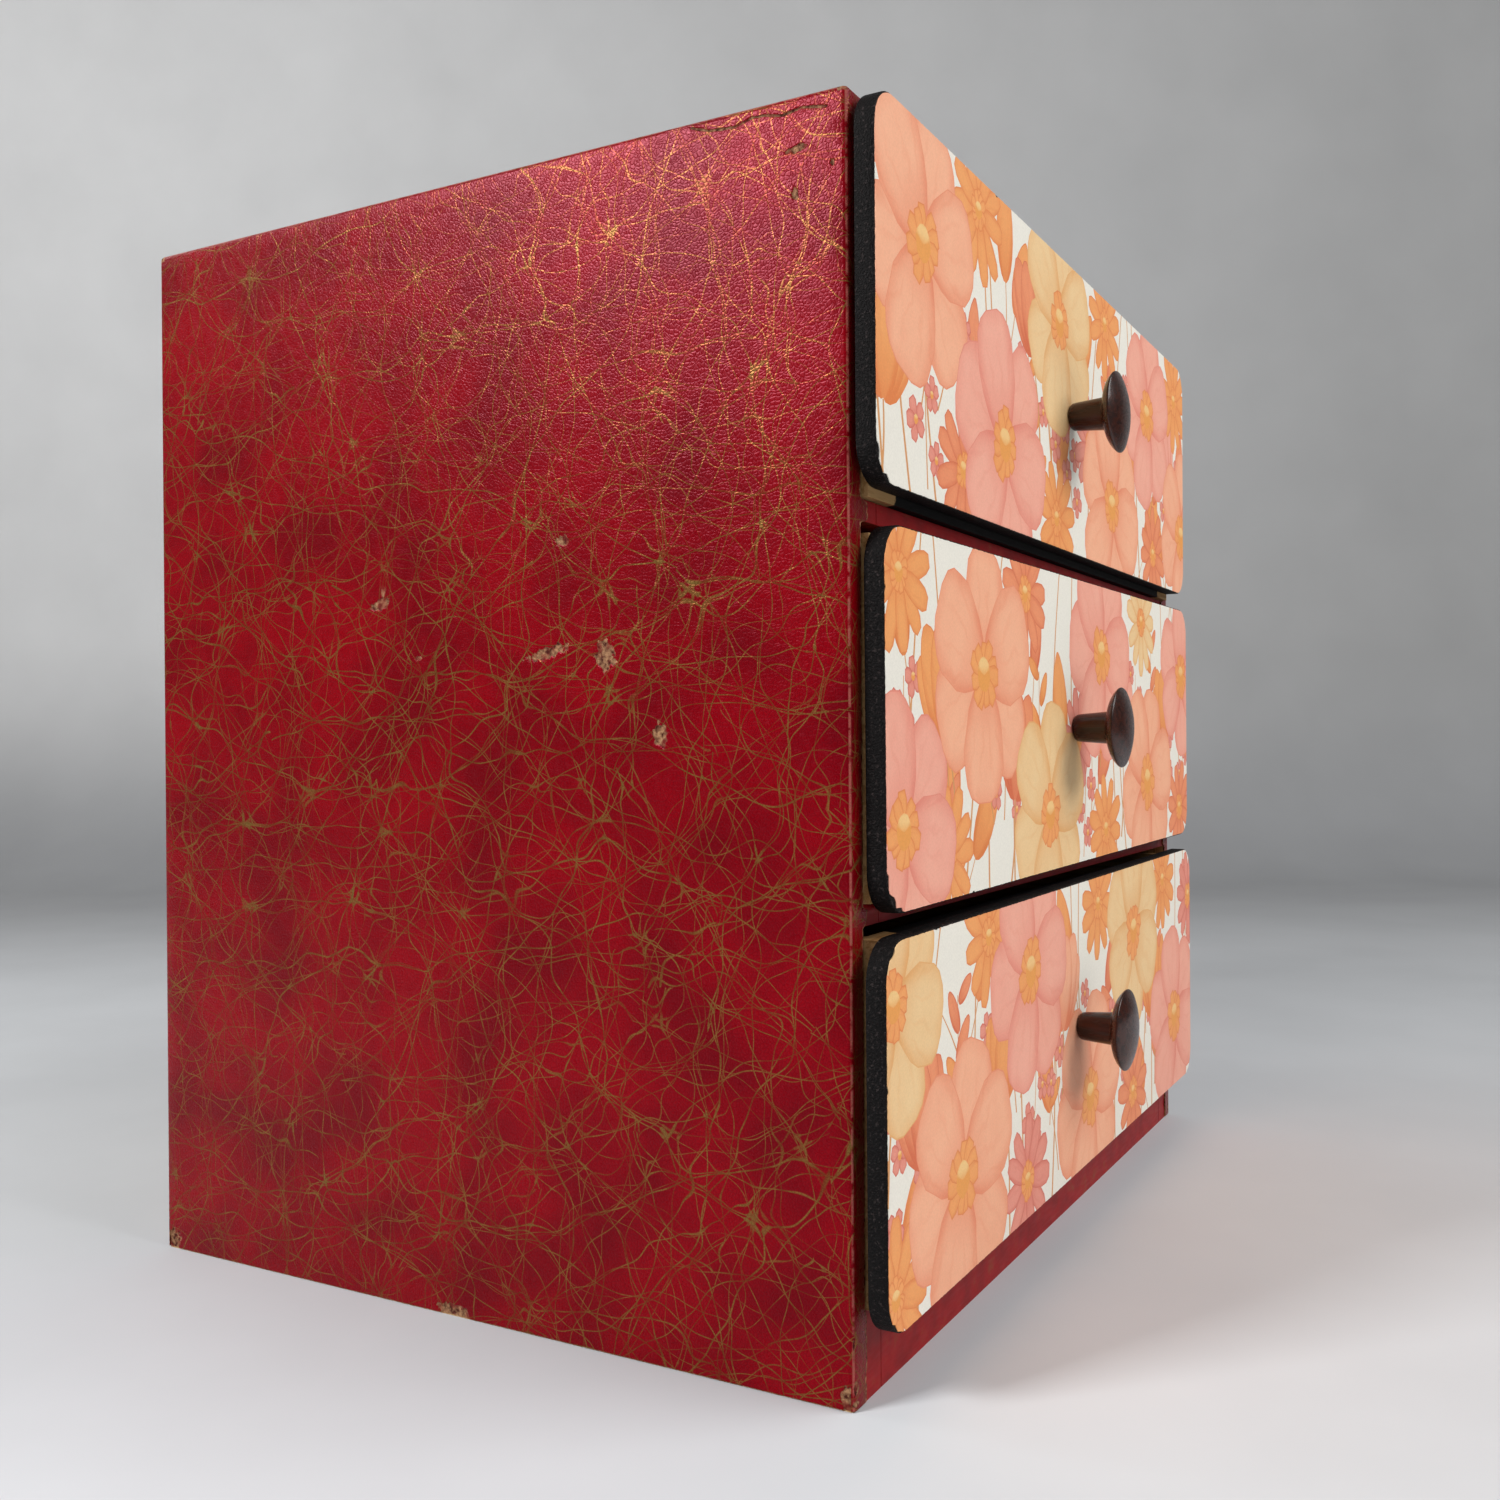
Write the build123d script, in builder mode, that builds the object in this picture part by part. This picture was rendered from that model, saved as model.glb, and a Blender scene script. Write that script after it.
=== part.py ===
"""Small three-drawer sewing chest: leatherette-covered box with lipped, paper-faced drawers.

Millimetres. The origin is on the floor under the middle of the carcass, +Z is up, the drawers
open towards -Y and +X is to the right of someone who faces them.
"""
import os

from build123d import *

os.makedirs("parts", exist_ok=True)

# ---------------------------------------------------------------- driving sizes: carcass
cabinet_w = 300        # over the leatherette
cabinet_d = 230        # over the leatherette, without the drawer fronts
cabinet_h = 300
skin_t = 0.5           # leatherette
skin_lift = 0.4        # its lower edge is trimmed just clear of the floor
skin_back_turn = 10    # how far it is turned over onto the back
side_t = 5.5
top_t = 3.5
back_t = 3
bottom_t = 3
arris_r = 0.8          # rounding of the panels' outer edges, under the leatherette
rebate_w = 2.5         # how far the back panel is let into each side
base_h = 21            # height of the rail and runners that stand on the floor
base_rail_d = 12
divider_t = 5          # height of the rails and runners between the drawers
rail_d = 18
runner_w = 9.5
seam_gap = 0.3         # open joint between a rail and the runner beside it

# ---------------------------------------------------------------- driving sizes: drawers
drawers = ("bottom", "middle", "top")
front_side_set = 0     # how far each end of a front stops inside the cabinet's side
front_t = 5            # board behind the paper
paper_t = 0.2
paper_inset = 0.3      # the paper stops this far inside the board's edge
front_corner_r = 10
front_gap = 6.2        # between one front and the next
front_lap = 2.9        # how far the lowest front covers the base rail
front_top_set = 0.1    # the highest front ends this far under the cabinet's top
box_t = 6              # box front, sides and back
box_rear_gap = 8       # between the pushed-in box and the back panel
box_head_gap = 3       # over the box, under the next rail
side_gap = 0.75        # each side of the box
run_gap = 0.3          # under the box, over its runners
tray_t = 3             # drawer bottom
groove_up = 4          # from the box's lower edge to the groove
groove_d = 2.5
groove_fit = 0.1

# Each front was nailed on by eye: push-in gap to the carcass, sideways shift, drop and tilt.
front_stand = {"bottom": 3.7, "middle": 1.6, "top": 1.5}
front_shift = {"bottom": -1, "middle": 4, "top": 0}
front_drop = {"bottom": 0, "middle": 1, "top": 0}
front_tilt = {"bottom": 0.3, "middle": 0.44, "top": 0}

# ---------------------------------------------------------------- driving sizes: knob and fixings
knob_len = 17.5
knob_cap_r = 12.4
knob_rim_r = 0.5       # half the thickness of the cap's rim
knob_front_dome = 2.9
knob_back_dome = 3.2
knob_foot_r = 4.2
knob_neck_r = 5
knob_hollow_r = 0.8    # where the stem meets the cap
knob_x = {"bottom": -4.4, "middle": -0.5, "top": -2.6}   # from the cabinet's middle
knob_up = {"bottom": 0.4, "middle": -2.2, "top": -2.5}   # from the front's middle

screw_r = 1.5
screw_grip = 8         # length inside the knob
screw_head_r = 3.2
screw_head_t = 1.8
screw_slot_w = 0.8
screw_slot_d = 0.9
screw_fit = 0.2        # round the shank, in the boards

nail_r = 0.6
nail_len = 13
nail_head_r = 1.2
nail_head_t = 0.5
nail_fit = 0.05
rail_nail_len = 28     # reaches through the side and the runner into a rail's end
top_nail_margin = 22.5     # from the carcass's front and rear edges to the outermost nails
runner_nail_margin = 40
base_nail_margin = 60
box_nail_margin = 18       # from the box's lower and upper edges
tray_nail_margin = 55      # from the box's sides

# ---------------------------------------------------------------- places that follow
front_y = cabinet_d / 2 - skin_t              # bare front edge of the carcass, as a distance
back_y = cabinet_d / 2 - skin_t - back_t      # inner face of the back panel
outer_x = cabinet_w / 2 - skin_t              # outer face of a side panel
inner_x = outer_x - side_t                    # its inner face
rail_end_x = inner_x - runner_w - seam_gap
under_top = cabinet_h - skin_t - top_t        # underside of the top panel
bay_h = (under_top - base_h - (len(drawers) - 1) * divider_t) / len(drawers)
bay_pitch = bay_h + divider_t
bay_floor = {name: base_h + i * bay_pitch for i, name in enumerate(drawers)}
divider_floor = {"lower": bay_floor["middle"] - divider_t, "upper": bay_floor["top"] - divider_t}

front_w = cabinet_w - 2 * front_side_set
fronts_low = base_h - front_lap
fronts_span = cabinet_h - front_top_set - fronts_low
front_h = (fronts_span - (len(drawers) - 1) * front_gap) / len(drawers)
front_pitch = front_h + front_gap
front_z = {name: fronts_low + front_h / 2 + i * front_pitch - front_drop[name]
           for i, name in enumerate(drawers)}

box_w = 2 * (inner_x - side_gap)
box_h = bay_h - run_gap - box_head_gap
box_l = cabinet_d / 2 + back_y - box_rear_gap

low = Align.MIN
mid = Align.CENTER
high = Align.MAX


# ---------------------------------------------------------------- helpers
def save(piece, name):
    """Label a finished piece and write it."""
    piece.part.label = name
    export_step(piece.part, f"parts/{name}.step")


def seat(x, y, z, out):
    """Plane on a surface where a nail's head lies, facing out of the wood."""
    return Plane(origin=(x, y, z), z_dir=out)


def nail_holes(seats, length=nail_len):
    """Cut the holes for nails driven at the given seats into the piece in hand."""
    with Locations(*seats):
        Cylinder(nail_r + nail_fit, length + nail_fit, align=(mid, mid, high), mode=Mode.SUBTRACT)
        Cylinder(nail_head_r + nail_fit, nail_head_t + nail_fit, align=(mid, mid, high),
                 mode=Mode.SUBTRACT)


def nails(seats, length=nail_len):
    """Flat-headed nails at the given seats."""
    with Locations(*seats):
        Cylinder(nail_r, length, align=(mid, mid, high))
        Cylinder(nail_head_r, nail_head_t, align=(mid, mid, high))


def block(width, depth, height, x, y, z, align=(mid, low, low), mode=Mode.ADD):
    """A sawn board with one corner or edge at the given place."""
    with Locations((x, y, z)):
        Box(width, depth, height, align=align, mode=mode)


def spread(first, last, count):
    """Evenly spaced places from the first to the last."""
    return [first + (last - first) * i / (count - 1) for i in range(count)]


# ---------------------------------------------------------------- where the carcass is nailed
runner_mid_x = inner_x - runner_w / 2
rail_level = {"lower": divider_floor["lower"] + divider_t / 2,
              "upper": divider_floor["upper"] + divider_t / 2,
              "base": (base_h + bottom_t) / 2}
front_nail_y = {"lower": rail_d / 2 - front_y, "upper": rail_d / 2 - front_y,
                "base": base_rail_d / 2 - front_y}
runner_nail_y = spread(runner_nail_margin - front_y, back_y - runner_nail_margin, 2)
base_nail_y = spread(base_nail_margin - front_y, back_y - base_nail_margin, 2)
top_nail_y = spread(top_nail_margin - front_y, front_y - top_nail_margin, 4)


def side_rail_nails(hand):
    """Long nails of one side: through the runners into the rails' ends."""
    return [seat(hand * outer_x, front_nail_y[name], rail_level[name], (hand, 0, 0))
            for name in rail_level]


def side_runner_nails(hand):
    """Short nails of one side: into the runners behind the rails."""
    return [seat(hand * outer_x, y, z, (hand, 0, 0))
            for z in rail_level.values() for y in runner_nail_y]


top_nail_seats = [seat(hand * (inner_x + side_t / 2), y, under_top + top_t, (0, 0, 1))
                  for hand in (-1, 1) for y in top_nail_y]
back_nail_seats = [seat(hand * runner_mid_x, back_y + back_t, z, (0, 1, 0))
                   for hand in (-1, 1) for z in rail_level.values()]
base_nail_seats = [seat(hand * runner_mid_x, y, 0, (0, 0, -1))
                   for hand in (-1, 1) for y in base_nail_y]


# ---------------------------------------------------------------- carcass panels
def make_side(name, hand):
    """Side panel with a rebate for the back; hand is -1 on the left and 1 on the right."""
    with BuildPart() as panel:
        block(side_t, 2 * front_y, under_top, hand * (inner_x + side_t / 2), 0, 0,
              align=(mid, mid, low))
        block(2 * rebate_w, 2 * back_t, under_top, hand * inner_x, back_y + back_t, 0,
              align=(mid, mid, low), mode=Mode.SUBTRACT)
        outer_edges = panel.edges().filter_by(Axis.Z).group_by(Axis.X)[-1 if hand > 0 else 0]
        fillet(outer_edges, arris_r)
        nail_holes(side_rail_nails(hand), rail_nail_len)
        nail_holes(side_runner_nails(hand))
        nail_holes([place for place in top_nail_seats if place.origin.X * hand > 0])
    save(panel, name)


make_side("left_side_panel", -1)
make_side("right_side_panel", 1)

# The top lies over both sides; its nails go down into their ends.
with BuildPart() as top_panel:
    block(2 * outer_x, 2 * front_y, top_t, 0, 0, under_top, align=(mid, mid, low))
    fillet(top_panel.edges().filter_by(Axis.Z), arris_r)
    fillet(top_panel.faces().sort_by(Axis.Z)[-1].edges(), arris_r)
    nail_holes(top_nail_seats)
save(top_panel, "top_panel")

# The back is let into the sides and nailed to the runners' ends.
with BuildPart() as back_panel:
    block(2 * (inner_x + rebate_w), back_t, under_top, 0, back_y, 0)
    nail_holes(back_nail_seats)
save(back_panel, "back_panel")

# The bottom lies in a notch under the base runners, flush with the floor.
with BuildPart() as bottom_panel:
    block(2 * inner_x, back_y + front_y - base_rail_d, bottom_t, 0, base_rail_d - front_y, 0)
    nail_holes(base_nail_seats)
save(bottom_panel, "bottom_panel")


# ---------------------------------------------------------------- rails and runners
def make_rail(name, depth, floor, height):
    """Front rail that ends just short of the runner on each side."""
    with BuildPart() as rail:
        block(2 * rail_end_x, depth, height, 0, -front_y, floor)
        nail_holes(side_rail_nails(-1) + side_rail_nails(1), rail_nail_len)
    save(rail, name)


make_rail("base_rail", base_rail_d, 0, base_h)
make_rail("lower_rail", rail_d, divider_floor["lower"], divider_t)
make_rail("upper_rail", rail_d, divider_floor["upper"], divider_t)


def make_runner(name, hand, floor, height, notched=False):
    """Strip along a side that a drawer slides on; the base ones are notched for the bottom."""
    with BuildPart() as runner:
        block(runner_w, front_y + back_y, height, hand * runner_mid_x, -front_y, floor)
        if notched:
            block(runner_w, front_y + back_y, bottom_t, hand * runner_mid_x,
                  base_rail_d - front_y, floor, mode=Mode.SUBTRACT)
            nail_holes(base_nail_seats)
        nail_holes(side_rail_nails(hand), rail_nail_len)
        nail_holes(side_runner_nails(hand))
        nail_holes(back_nail_seats)
    save(runner, name)


for side, hand in (("left", -1), ("right", 1)):
    make_runner(f"base_{side}_runner", hand, 0, base_h, notched=True)
    make_runner(f"lower_{side}_runner", hand, divider_floor["lower"], divider_t)
    make_runner(f"upper_{side}_runner", hand, divider_floor["upper"], divider_t)

# ---------------------------------------------------------------- leatherette
# One sheet over both sides and the top, turned in over the front edges and onto the back.
with BuildPart() as covered:
    block(2 * outer_x, 2 * front_y, under_top + top_t, 0, 0, 0, align=(mid, mid, low))
    fillet(covered.edges().filter_by(Axis.Z), arris_r)
    fillet(covered.faces().sort_by(Axis.Z)[-1].edges(), arris_r)

with BuildPart() as leatherette_wrap:
    block(cabinet_w, cabinet_d, cabinet_h, 0, 0, 0, align=(mid, mid, low))
    fillet(leatherette_wrap.edges().filter_by(Axis.Z), arris_r + skin_t)
    fillet(leatherette_wrap.faces().sort_by(Axis.Z)[-1].edges(), arris_r + skin_t)
    add(covered.part, mode=Mode.SUBTRACT)
    block(2 * inner_x, skin_t, under_top, 0, -cabinet_d / 2, 0, mode=Mode.SUBTRACT)
    block(cabinet_w - 2 * skin_back_turn, skin_t, cabinet_h - skin_back_turn, 0, front_y, 0,
          mode=Mode.SUBTRACT)
    block(cabinet_w, cabinet_d, skin_lift, 0, 0, 0, align=(mid, mid, low), mode=Mode.SUBTRACT)
save(leatherette_wrap, "leatherette_wrap")

# ---------------------------------------------------------------- carcass nails
with BuildPart() as side_nails:
    for hand in (-1, 1):
        nails(side_rail_nails(hand), rail_nail_len)
        nails(side_runner_nails(hand))
save(side_nails, "side_nails")

with BuildPart() as top_nails:
    nails(top_nail_seats)
save(top_nails, "top_nails")

with BuildPart() as back_nails:
    nails(back_nail_seats)
save(back_nails, "back_nails")

with BuildPart() as bottom_nails:
    nails(base_nail_seats)
save(bottom_nails, "bottom_nails")


# ---------------------------------------------------------------- drawers
def drill_for_screw(x, z):
    """Clearance hole for the knob's screw through a front board, its paper or a box front."""
    with Locations(Plane(origin=(x, 0, z), z_dir=(0, -1, 0))):
        Cylinder(screw_r + screw_fit, 2 * cabinet_d, mode=Mode.SUBTRACT)


def make_knob(name, x, face_y, z):
    """Turned knob: slightly flared stem under a cap that is domed on both sides."""
    rim_u = knob_len - knob_front_dome
    back_u = rim_u - knob_back_dome
    rim_edge = knob_cap_r - knob_rim_r
    with BuildPart() as knob:
        with BuildSketch(Plane(origin=(x, face_y, z), x_dir=(0, -1, 0), z_dir=(1, 0, 0))):
            with BuildLine():
                stem = Polyline((0, 0), (0, knob_foot_r), (back_u - knob_hollow_r, knob_neck_r))
                hollow = TangentArc(stem @ 1, (back_u, knob_neck_r + knob_hollow_r),
                                    tangent=stem % 1)
                TangentArc(hollow @ 1, (rim_u - knob_rim_r, rim_edge), tangent=(0, 1))
                CenterArc((rim_u, rim_edge), knob_rim_r, 0, 180)
                TangentArc((knob_len, 0), (rim_u + knob_rim_r, rim_edge), tangent=(0, 1))
                Line((knob_len, 0), (0, 0))
            make_face()
        revolve(axis=Axis((x, face_y, z), (0, -1, 0)))
        with Locations(Plane(origin=(x, face_y, z), z_dir=(0, -1, 0))):
            Cylinder(screw_r + nail_fit, screw_grip, align=(mid, mid, low), mode=Mode.SUBTRACT)
    save(knob, name)


def make_screw(name, x, seat_y, face_y, z):
    """Slotted screw from inside the drawer through both boards into the knob."""
    with BuildPart() as screw:
        with Locations(Plane(origin=(x, seat_y, z), z_dir=(0, -1, 0))):
            Cylinder(screw_r, seat_y - face_y + screw_grip, align=(mid, mid, low))
            Cylinder(screw_head_r, screw_head_t, align=(mid, mid, high))
        fillet(screw.edges().sort_by(Axis.Y)[-1], screw_head_t / 2)
        block(screw_slot_w, screw_slot_d, 2 * screw_head_r, x, seat_y + screw_head_t, z,
              align=(mid, high, mid), mode=Mode.SUBTRACT)
    save(screw, name)


def make_drawer(name):
    """One drawer, from the paper on its front to its rear board."""
    box_front_y = -cabinet_d / 2 - front_stand[name]       # back of the lipped front
    face_y = box_front_y - front_t - paper_t               # face of the paper
    inside_y = box_front_y + box_t
    box_end_y = box_front_y + box_l
    floor = bay_floor[name] + run_gap
    tray_floor = floor + groove_up
    tray_top = tray_floor + tray_t
    front_x = front_shift[name]
    screw_x = knob_x[name]
    screw_z = front_z[name] + knob_up[name]
    side_x = box_w / 2 - box_t / 2

    nail_z = spread(floor + box_nail_margin, floor + box_h - box_nail_margin, 2)
    nail_x = spread(tray_nail_margin - box_w / 2, box_w / 2 - tray_nail_margin, 3)
    front_seats = [seat(hand * side_x, box_front_y, z, (0, -1, 0))
                   for hand in (-1, 1) for z in nail_z]
    rear_seats = [seat(hand * box_w / 2, box_end_y - box_t / 2, z, (hand, 0, 0))
                  for hand in (-1, 1) for z in nail_z]
    tray_seats = [seat(x, box_end_y - box_t / 2, tray_floor, (0, 0, -1)) for x in nail_x]

    with BuildPart() as front_board:
        with BuildSketch(Plane.XZ.offset(-box_front_y)):
            with Locations((front_x, front_z[name])):
                RectangleRounded(front_w, front_h, front_corner_r, rotation=front_tilt[name])
        extrude(amount=front_t)
        drill_for_screw(screw_x, screw_z)
    save(front_board, f"{name}_drawer_front_board")

    with BuildPart() as front_paper:
        with BuildSketch(Plane.XZ.offset(front_t - box_front_y)):
            with Locations((front_x, front_z[name])):
                RectangleRounded(front_w - 2 * paper_inset, front_h - 2 * paper_inset,
                                 front_corner_r - paper_inset, rotation=front_tilt[name])
        extrude(amount=paper_t)
        drill_for_screw(screw_x, screw_z)
    save(front_paper, f"{name}_drawer_front_paper")

    # The groove runs the length of the sides and the width of the box front.
    groove_h = tray_t + 2 * groove_fit
    groove_w = 2 * (side_x - box_t / 2 + groove_d + groove_fit)
    with BuildPart() as box_front:
        block(box_w, box_t, box_h, 0, box_front_y, floor)
        block(groove_w, groove_d + groove_fit, groove_h, 0, inside_y, tray_floor - groove_fit,
              align=(mid, high, low), mode=Mode.SUBTRACT)
        nail_holes(front_seats)
        drill_for_screw(screw_x, screw_z)
    save(box_front, f"{name}_drawer_box_front")

    for side, hand in (("left", -1), ("right", 1)):
        with BuildPart() as box_side:
            block(box_t, box_l - box_t, box_h, hand * side_x, inside_y, floor)
            block(groove_w, box_l - box_t, groove_h, 0, inside_y, tray_floor - groove_fit,
                  mode=Mode.SUBTRACT)
            nail_holes(front_seats + rear_seats)
        save(box_side, f"{name}_drawer_{side}_side")

    with BuildPart() as box_back:
        block(box_w - 2 * box_t, box_t, floor + box_h - tray_top, 0, box_end_y - box_t, tray_top)
        nail_holes(rear_seats + tray_seats)
    save(box_back, f"{name}_drawer_back")

    with BuildPart() as tray:
        block(groove_w - 2 * groove_fit, box_l - box_t + groove_d, tray_t, 0, inside_y - groove_d,
              tray_floor)
        nail_holes(tray_seats)
    save(tray, f"{name}_drawer_bottom")

    with BuildPart() as box_nails:
        nails(front_seats + rear_seats + tray_seats)
    save(box_nails, f"{name}_drawer_nails")

    make_knob(f"{name}_drawer_knob", screw_x, face_y, screw_z)
    make_screw(f"{name}_drawer_knob_screw", screw_x, inside_y, face_y, screw_z)


for drawer in drawers:
    make_drawer(drawer)
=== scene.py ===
import bpy
import bmesh
import math
import random
from mathutils import Matrix, Vector, geometry, noise


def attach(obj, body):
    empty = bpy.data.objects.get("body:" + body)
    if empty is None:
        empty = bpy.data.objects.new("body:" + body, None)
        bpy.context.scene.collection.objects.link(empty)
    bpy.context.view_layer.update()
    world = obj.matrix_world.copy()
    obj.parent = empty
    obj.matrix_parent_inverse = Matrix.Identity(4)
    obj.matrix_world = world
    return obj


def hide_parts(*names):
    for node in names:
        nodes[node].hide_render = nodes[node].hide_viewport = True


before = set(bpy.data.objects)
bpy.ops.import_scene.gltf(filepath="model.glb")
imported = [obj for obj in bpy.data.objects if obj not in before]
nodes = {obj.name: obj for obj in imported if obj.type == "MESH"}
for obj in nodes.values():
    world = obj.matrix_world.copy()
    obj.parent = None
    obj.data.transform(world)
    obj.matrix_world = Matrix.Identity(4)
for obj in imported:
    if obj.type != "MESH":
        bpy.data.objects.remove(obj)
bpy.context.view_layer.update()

bpy.ops.object.select_all(action="DESELECT")


# ---------------------------------------------------------------- carcass panels
# Side and top boards of planed softwood, seen bare inside the carcass when a drawer is out. They are
# nailed together at the top corners, and the leatherette hides their outer faces. Pine gives the eye
# warm straw with darker late-wood lines along the board, and next to no shine.
def ink(hex_value, alpha=1.0):
    """sRGB hex as a linear colour."""
    parts = [int(hex_value[i:i + 2], 16) / 255 for i in (1, 3, 5)]
    linear = [c / 12.92 if c <= 0.04045 else ((c + 0.055) / 1.055) ** 2.4 for c in parts]
    return (*linear, alpha)


def feed(tree, made, inputs):
    """Give a node its inputs, by socket or in order: values, outputs, or nodes by first output.

    A MapRange takes its value, the range that it comes from and the range that it goes to."""
    for socket, value in inputs.items() if isinstance(inputs, dict) else enumerate(inputs):
        if isinstance(value, bpy.types.Node):
            value = value.outputs[0]
        if isinstance(value, bpy.types.NodeSocket):
            tree.links.new(value, made.inputs[socket])
        else:
            made.inputs[socket].default_value = value


def add(tree, kind, inputs=(), **settings):
    """Add one node, its operation after a colon, to a material with its inputs and settings."""
    kind, _, operation = kind.partition(":")
    made = tree.nodes.new("ShaderNode" + kind)
    for name, value in dict(settings, operation=operation).items():
        if value != "":
            setattr(made, name, value)
    feed(tree, made, inputs)
    return made


def follow(tree, value, *steps):
    """Pass a value through a row of nodes, each given as its kind and its further inputs."""
    for kind, *others in steps:
        value = add(tree, kind, (value, *others))
    return value


def new_finish(name):
    """Empty material: its node tree, the shader joined to the output, and Object coordinates."""
    material = bpy.data.materials.new(name)
    material.use_nodes = True
    tree = material.node_tree
    tree.nodes.clear()
    shader = add(tree, "BsdfPrincipled")
    add(tree, "OutputMaterial", {"Surface": shader.outputs["BSDF"]})
    return material, tree, shader, add(tree, "TexCoord").outputs["Object"]


def blend_inks(tree, amount, first, second, mode="MIX"):
    """Colour that goes from the first to the second as amount goes from 0 to 1."""
    return add(tree, "Mix", {0: amount, 6: first, 7: second}, data_type="RGBA",
               blend_type=mode).outputs[2]


def finish_with(material, *names):
    """Give carried-over boards and fixings their real finish."""
    for name in names:
        nodes[name].data.materials.clear()
        nodes[name].data.materials.append(material)


def planed_board(name, pale, dark, along, ring_mm=7.0, roughness=0.62):
    """Planed softwood: dark late-wood lines drawn out along the board, over fine pores."""
    material, tree, shader, place = new_finish(name)
    stretch = [1.0, 1.0, 1.0]
    stretch[along] = 0.06
    drawn = add(tree, "Mapping", {"Vector": place, "Scale": stretch})
    sway = add(tree, "TexNoise", {"Vector": drawn, "Scale": 28.0, "Detail": 2.0})
    bent = add(tree, "VectorMath:MULTIPLY", (sway.outputs["Color"], (0.011, 0.011, 0.011)))
    swayed = add(tree, "VectorMath:ADD", (drawn, bent))
    rings = add(tree, "TexNoise", {"Vector": swayed, "Scale": 1000 / ring_mm, "Detail": 5.0,
                                   "Roughness": 0.68})
    pores = add(tree, "TexNoise", {"Vector": drawn, "Scale": 1000 / 0.5, "Detail": 1.0})
    bands = follow(tree, rings, ("Math:MULTIPLY", 38.0), ("Math:SINE",), ("MapRange", -0.2, 1.0, 0.0,
                                                                          0.55))
    late = follow(tree, rings, ("MapRange", 0.44, 0.72, 0.0, 0.6), ("Math:ADD", bands))
    body = blend_inks(tree, late, ink(pale), ink(dark))
    speck = add(tree, "MapRange", (pores, 0.55, 0.75, 0.0, 0.35))
    body = blend_inks(tree, speck, body, ink(dark))
    tone = add(tree, "TexNoise", {"Vector": place, "Scale": 14.0, "Detail": 2.0})
    shade = add(tree, "MapRange", (tone, 0.3, 0.7, 0.86, 1.0))
    body = blend_inks(tree, 1.0, body, shade, "MULTIPLY")
    dull = add(tree, "MapRange", (pores, 0.0, 1.0, roughness - 0.06, roughness + 0.1))
    relief = add(tree, "Bump", {"Strength": 0.5, "Distance": 0.00012, "Height": pores})
    feed(tree, shader, {"Base Color": body, "Roughness": dull, "Normal": relief})
    return material


side_board = planed_board("planed_pine_upright", "#c9a271", "#a3733f", 2)
top_board = planed_board("planed_pine_across", "#c9a271", "#a3733f", 0)
finish_with(side_board, "left_side_panel", "right_side_panel")
finish_with(top_board, "top_panel")


# ---------------------------------------------------------------- back and bottom boards
# Thin plywood let into the sides and nailed on; the back is grey-brown with age and dust, and the
# bottom is scuffed by the surfaces that the chest has stood on.
back_ply = planed_board("aged_plywood_back", "#b08c62", "#8a6640", 2, 11.0, 0.7)
base_ply = planed_board("aged_plywood_base", "#a9865e", "#7f5d3b", 0, 11.0, 0.75)
finish_with(back_ply, "back_panel")
finish_with(base_ply, "bottom_panel")


# ---------------------------------------------------------------- rails
# Softwood rails across the front, brushed dark red to match the leatherette. The paint is thin, with
# the olive mottling and rubbed edges that show in the gaps between the drawer fronts.
def brushed_red(name, bare_behind):
    """Thin red paint; with bare_behind the wood is only painted on its front end."""
    material, tree, shader, place = new_finish(name)
    flow = add(tree, "Mapping", {"Vector": place, "Scale": (0.15, 1.0, 1.0)})
    streak = add(tree, "TexNoise", {"Vector": flow, "Scale": 900.0, "Detail": 2.0})
    cloud = add(tree, "TexNoise", {"Vector": place, "Scale": 160.0, "Detail": 3.0})
    deep = add(tree, "MapRange", (cloud, 0.35, 0.7))
    paint = blend_inks(tree, deep, ink("#86090e"), ink("#a20b12"))
    olive = add(tree, "MapRange", (cloud, 0.6, 0.72, 0.0, 0.5))
    paint = blend_inks(tree, olive, paint, ink("#6e4a24"))
    thin = add(tree, "MapRange", (streak, 0.62, 0.8, 0.0, 0.4))
    paint = blend_inks(tree, thin, paint, ink("#a4553a"))
    if bare_behind:
        depth = add(tree, "SeparateXYZ", (place,)).outputs["Y"]
        ragged = add(tree, "Math:MULTIPLY", (cloud, 0.004))
        edge = add(tree, "Math:ADD", (depth, ragged))
        bare = add(tree, "MapRange", (edge, -0.1085, -0.1080))
        paint = blend_inks(tree, bare, paint, ink("#bd9563"))
    relief = add(tree, "Bump", {"Strength": 0.6, "Distance": 0.0001, "Height": streak})
    dull = add(tree, "MapRange", (streak, 0.0, 1.0, 0.38, 0.6))
    feed(tree, shader, {"Base Color": paint, "Roughness": dull, "Normal": relief,
                        "Specular IOR Level": 0.3, "Specular Tint": ink("#ffa8a8")})
    return material


rail_paint = brushed_red("brushed_red_rail", False)
finish_with(rail_paint, "base_rail", "lower_rail", "upper_rail")


# ---------------------------------------------------------------- runners
# Softwood strips glued and nailed along each side for the drawers to slide on. Only their front ends
# caught the red paint of the rails.
runner_paint = brushed_red("runner_red_end", True)
finish_with(runner_paint, *[f"{level}_{side}_runner" for level in ("base", "lower", "upper")
                            for side in ("left", "right")])


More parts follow.
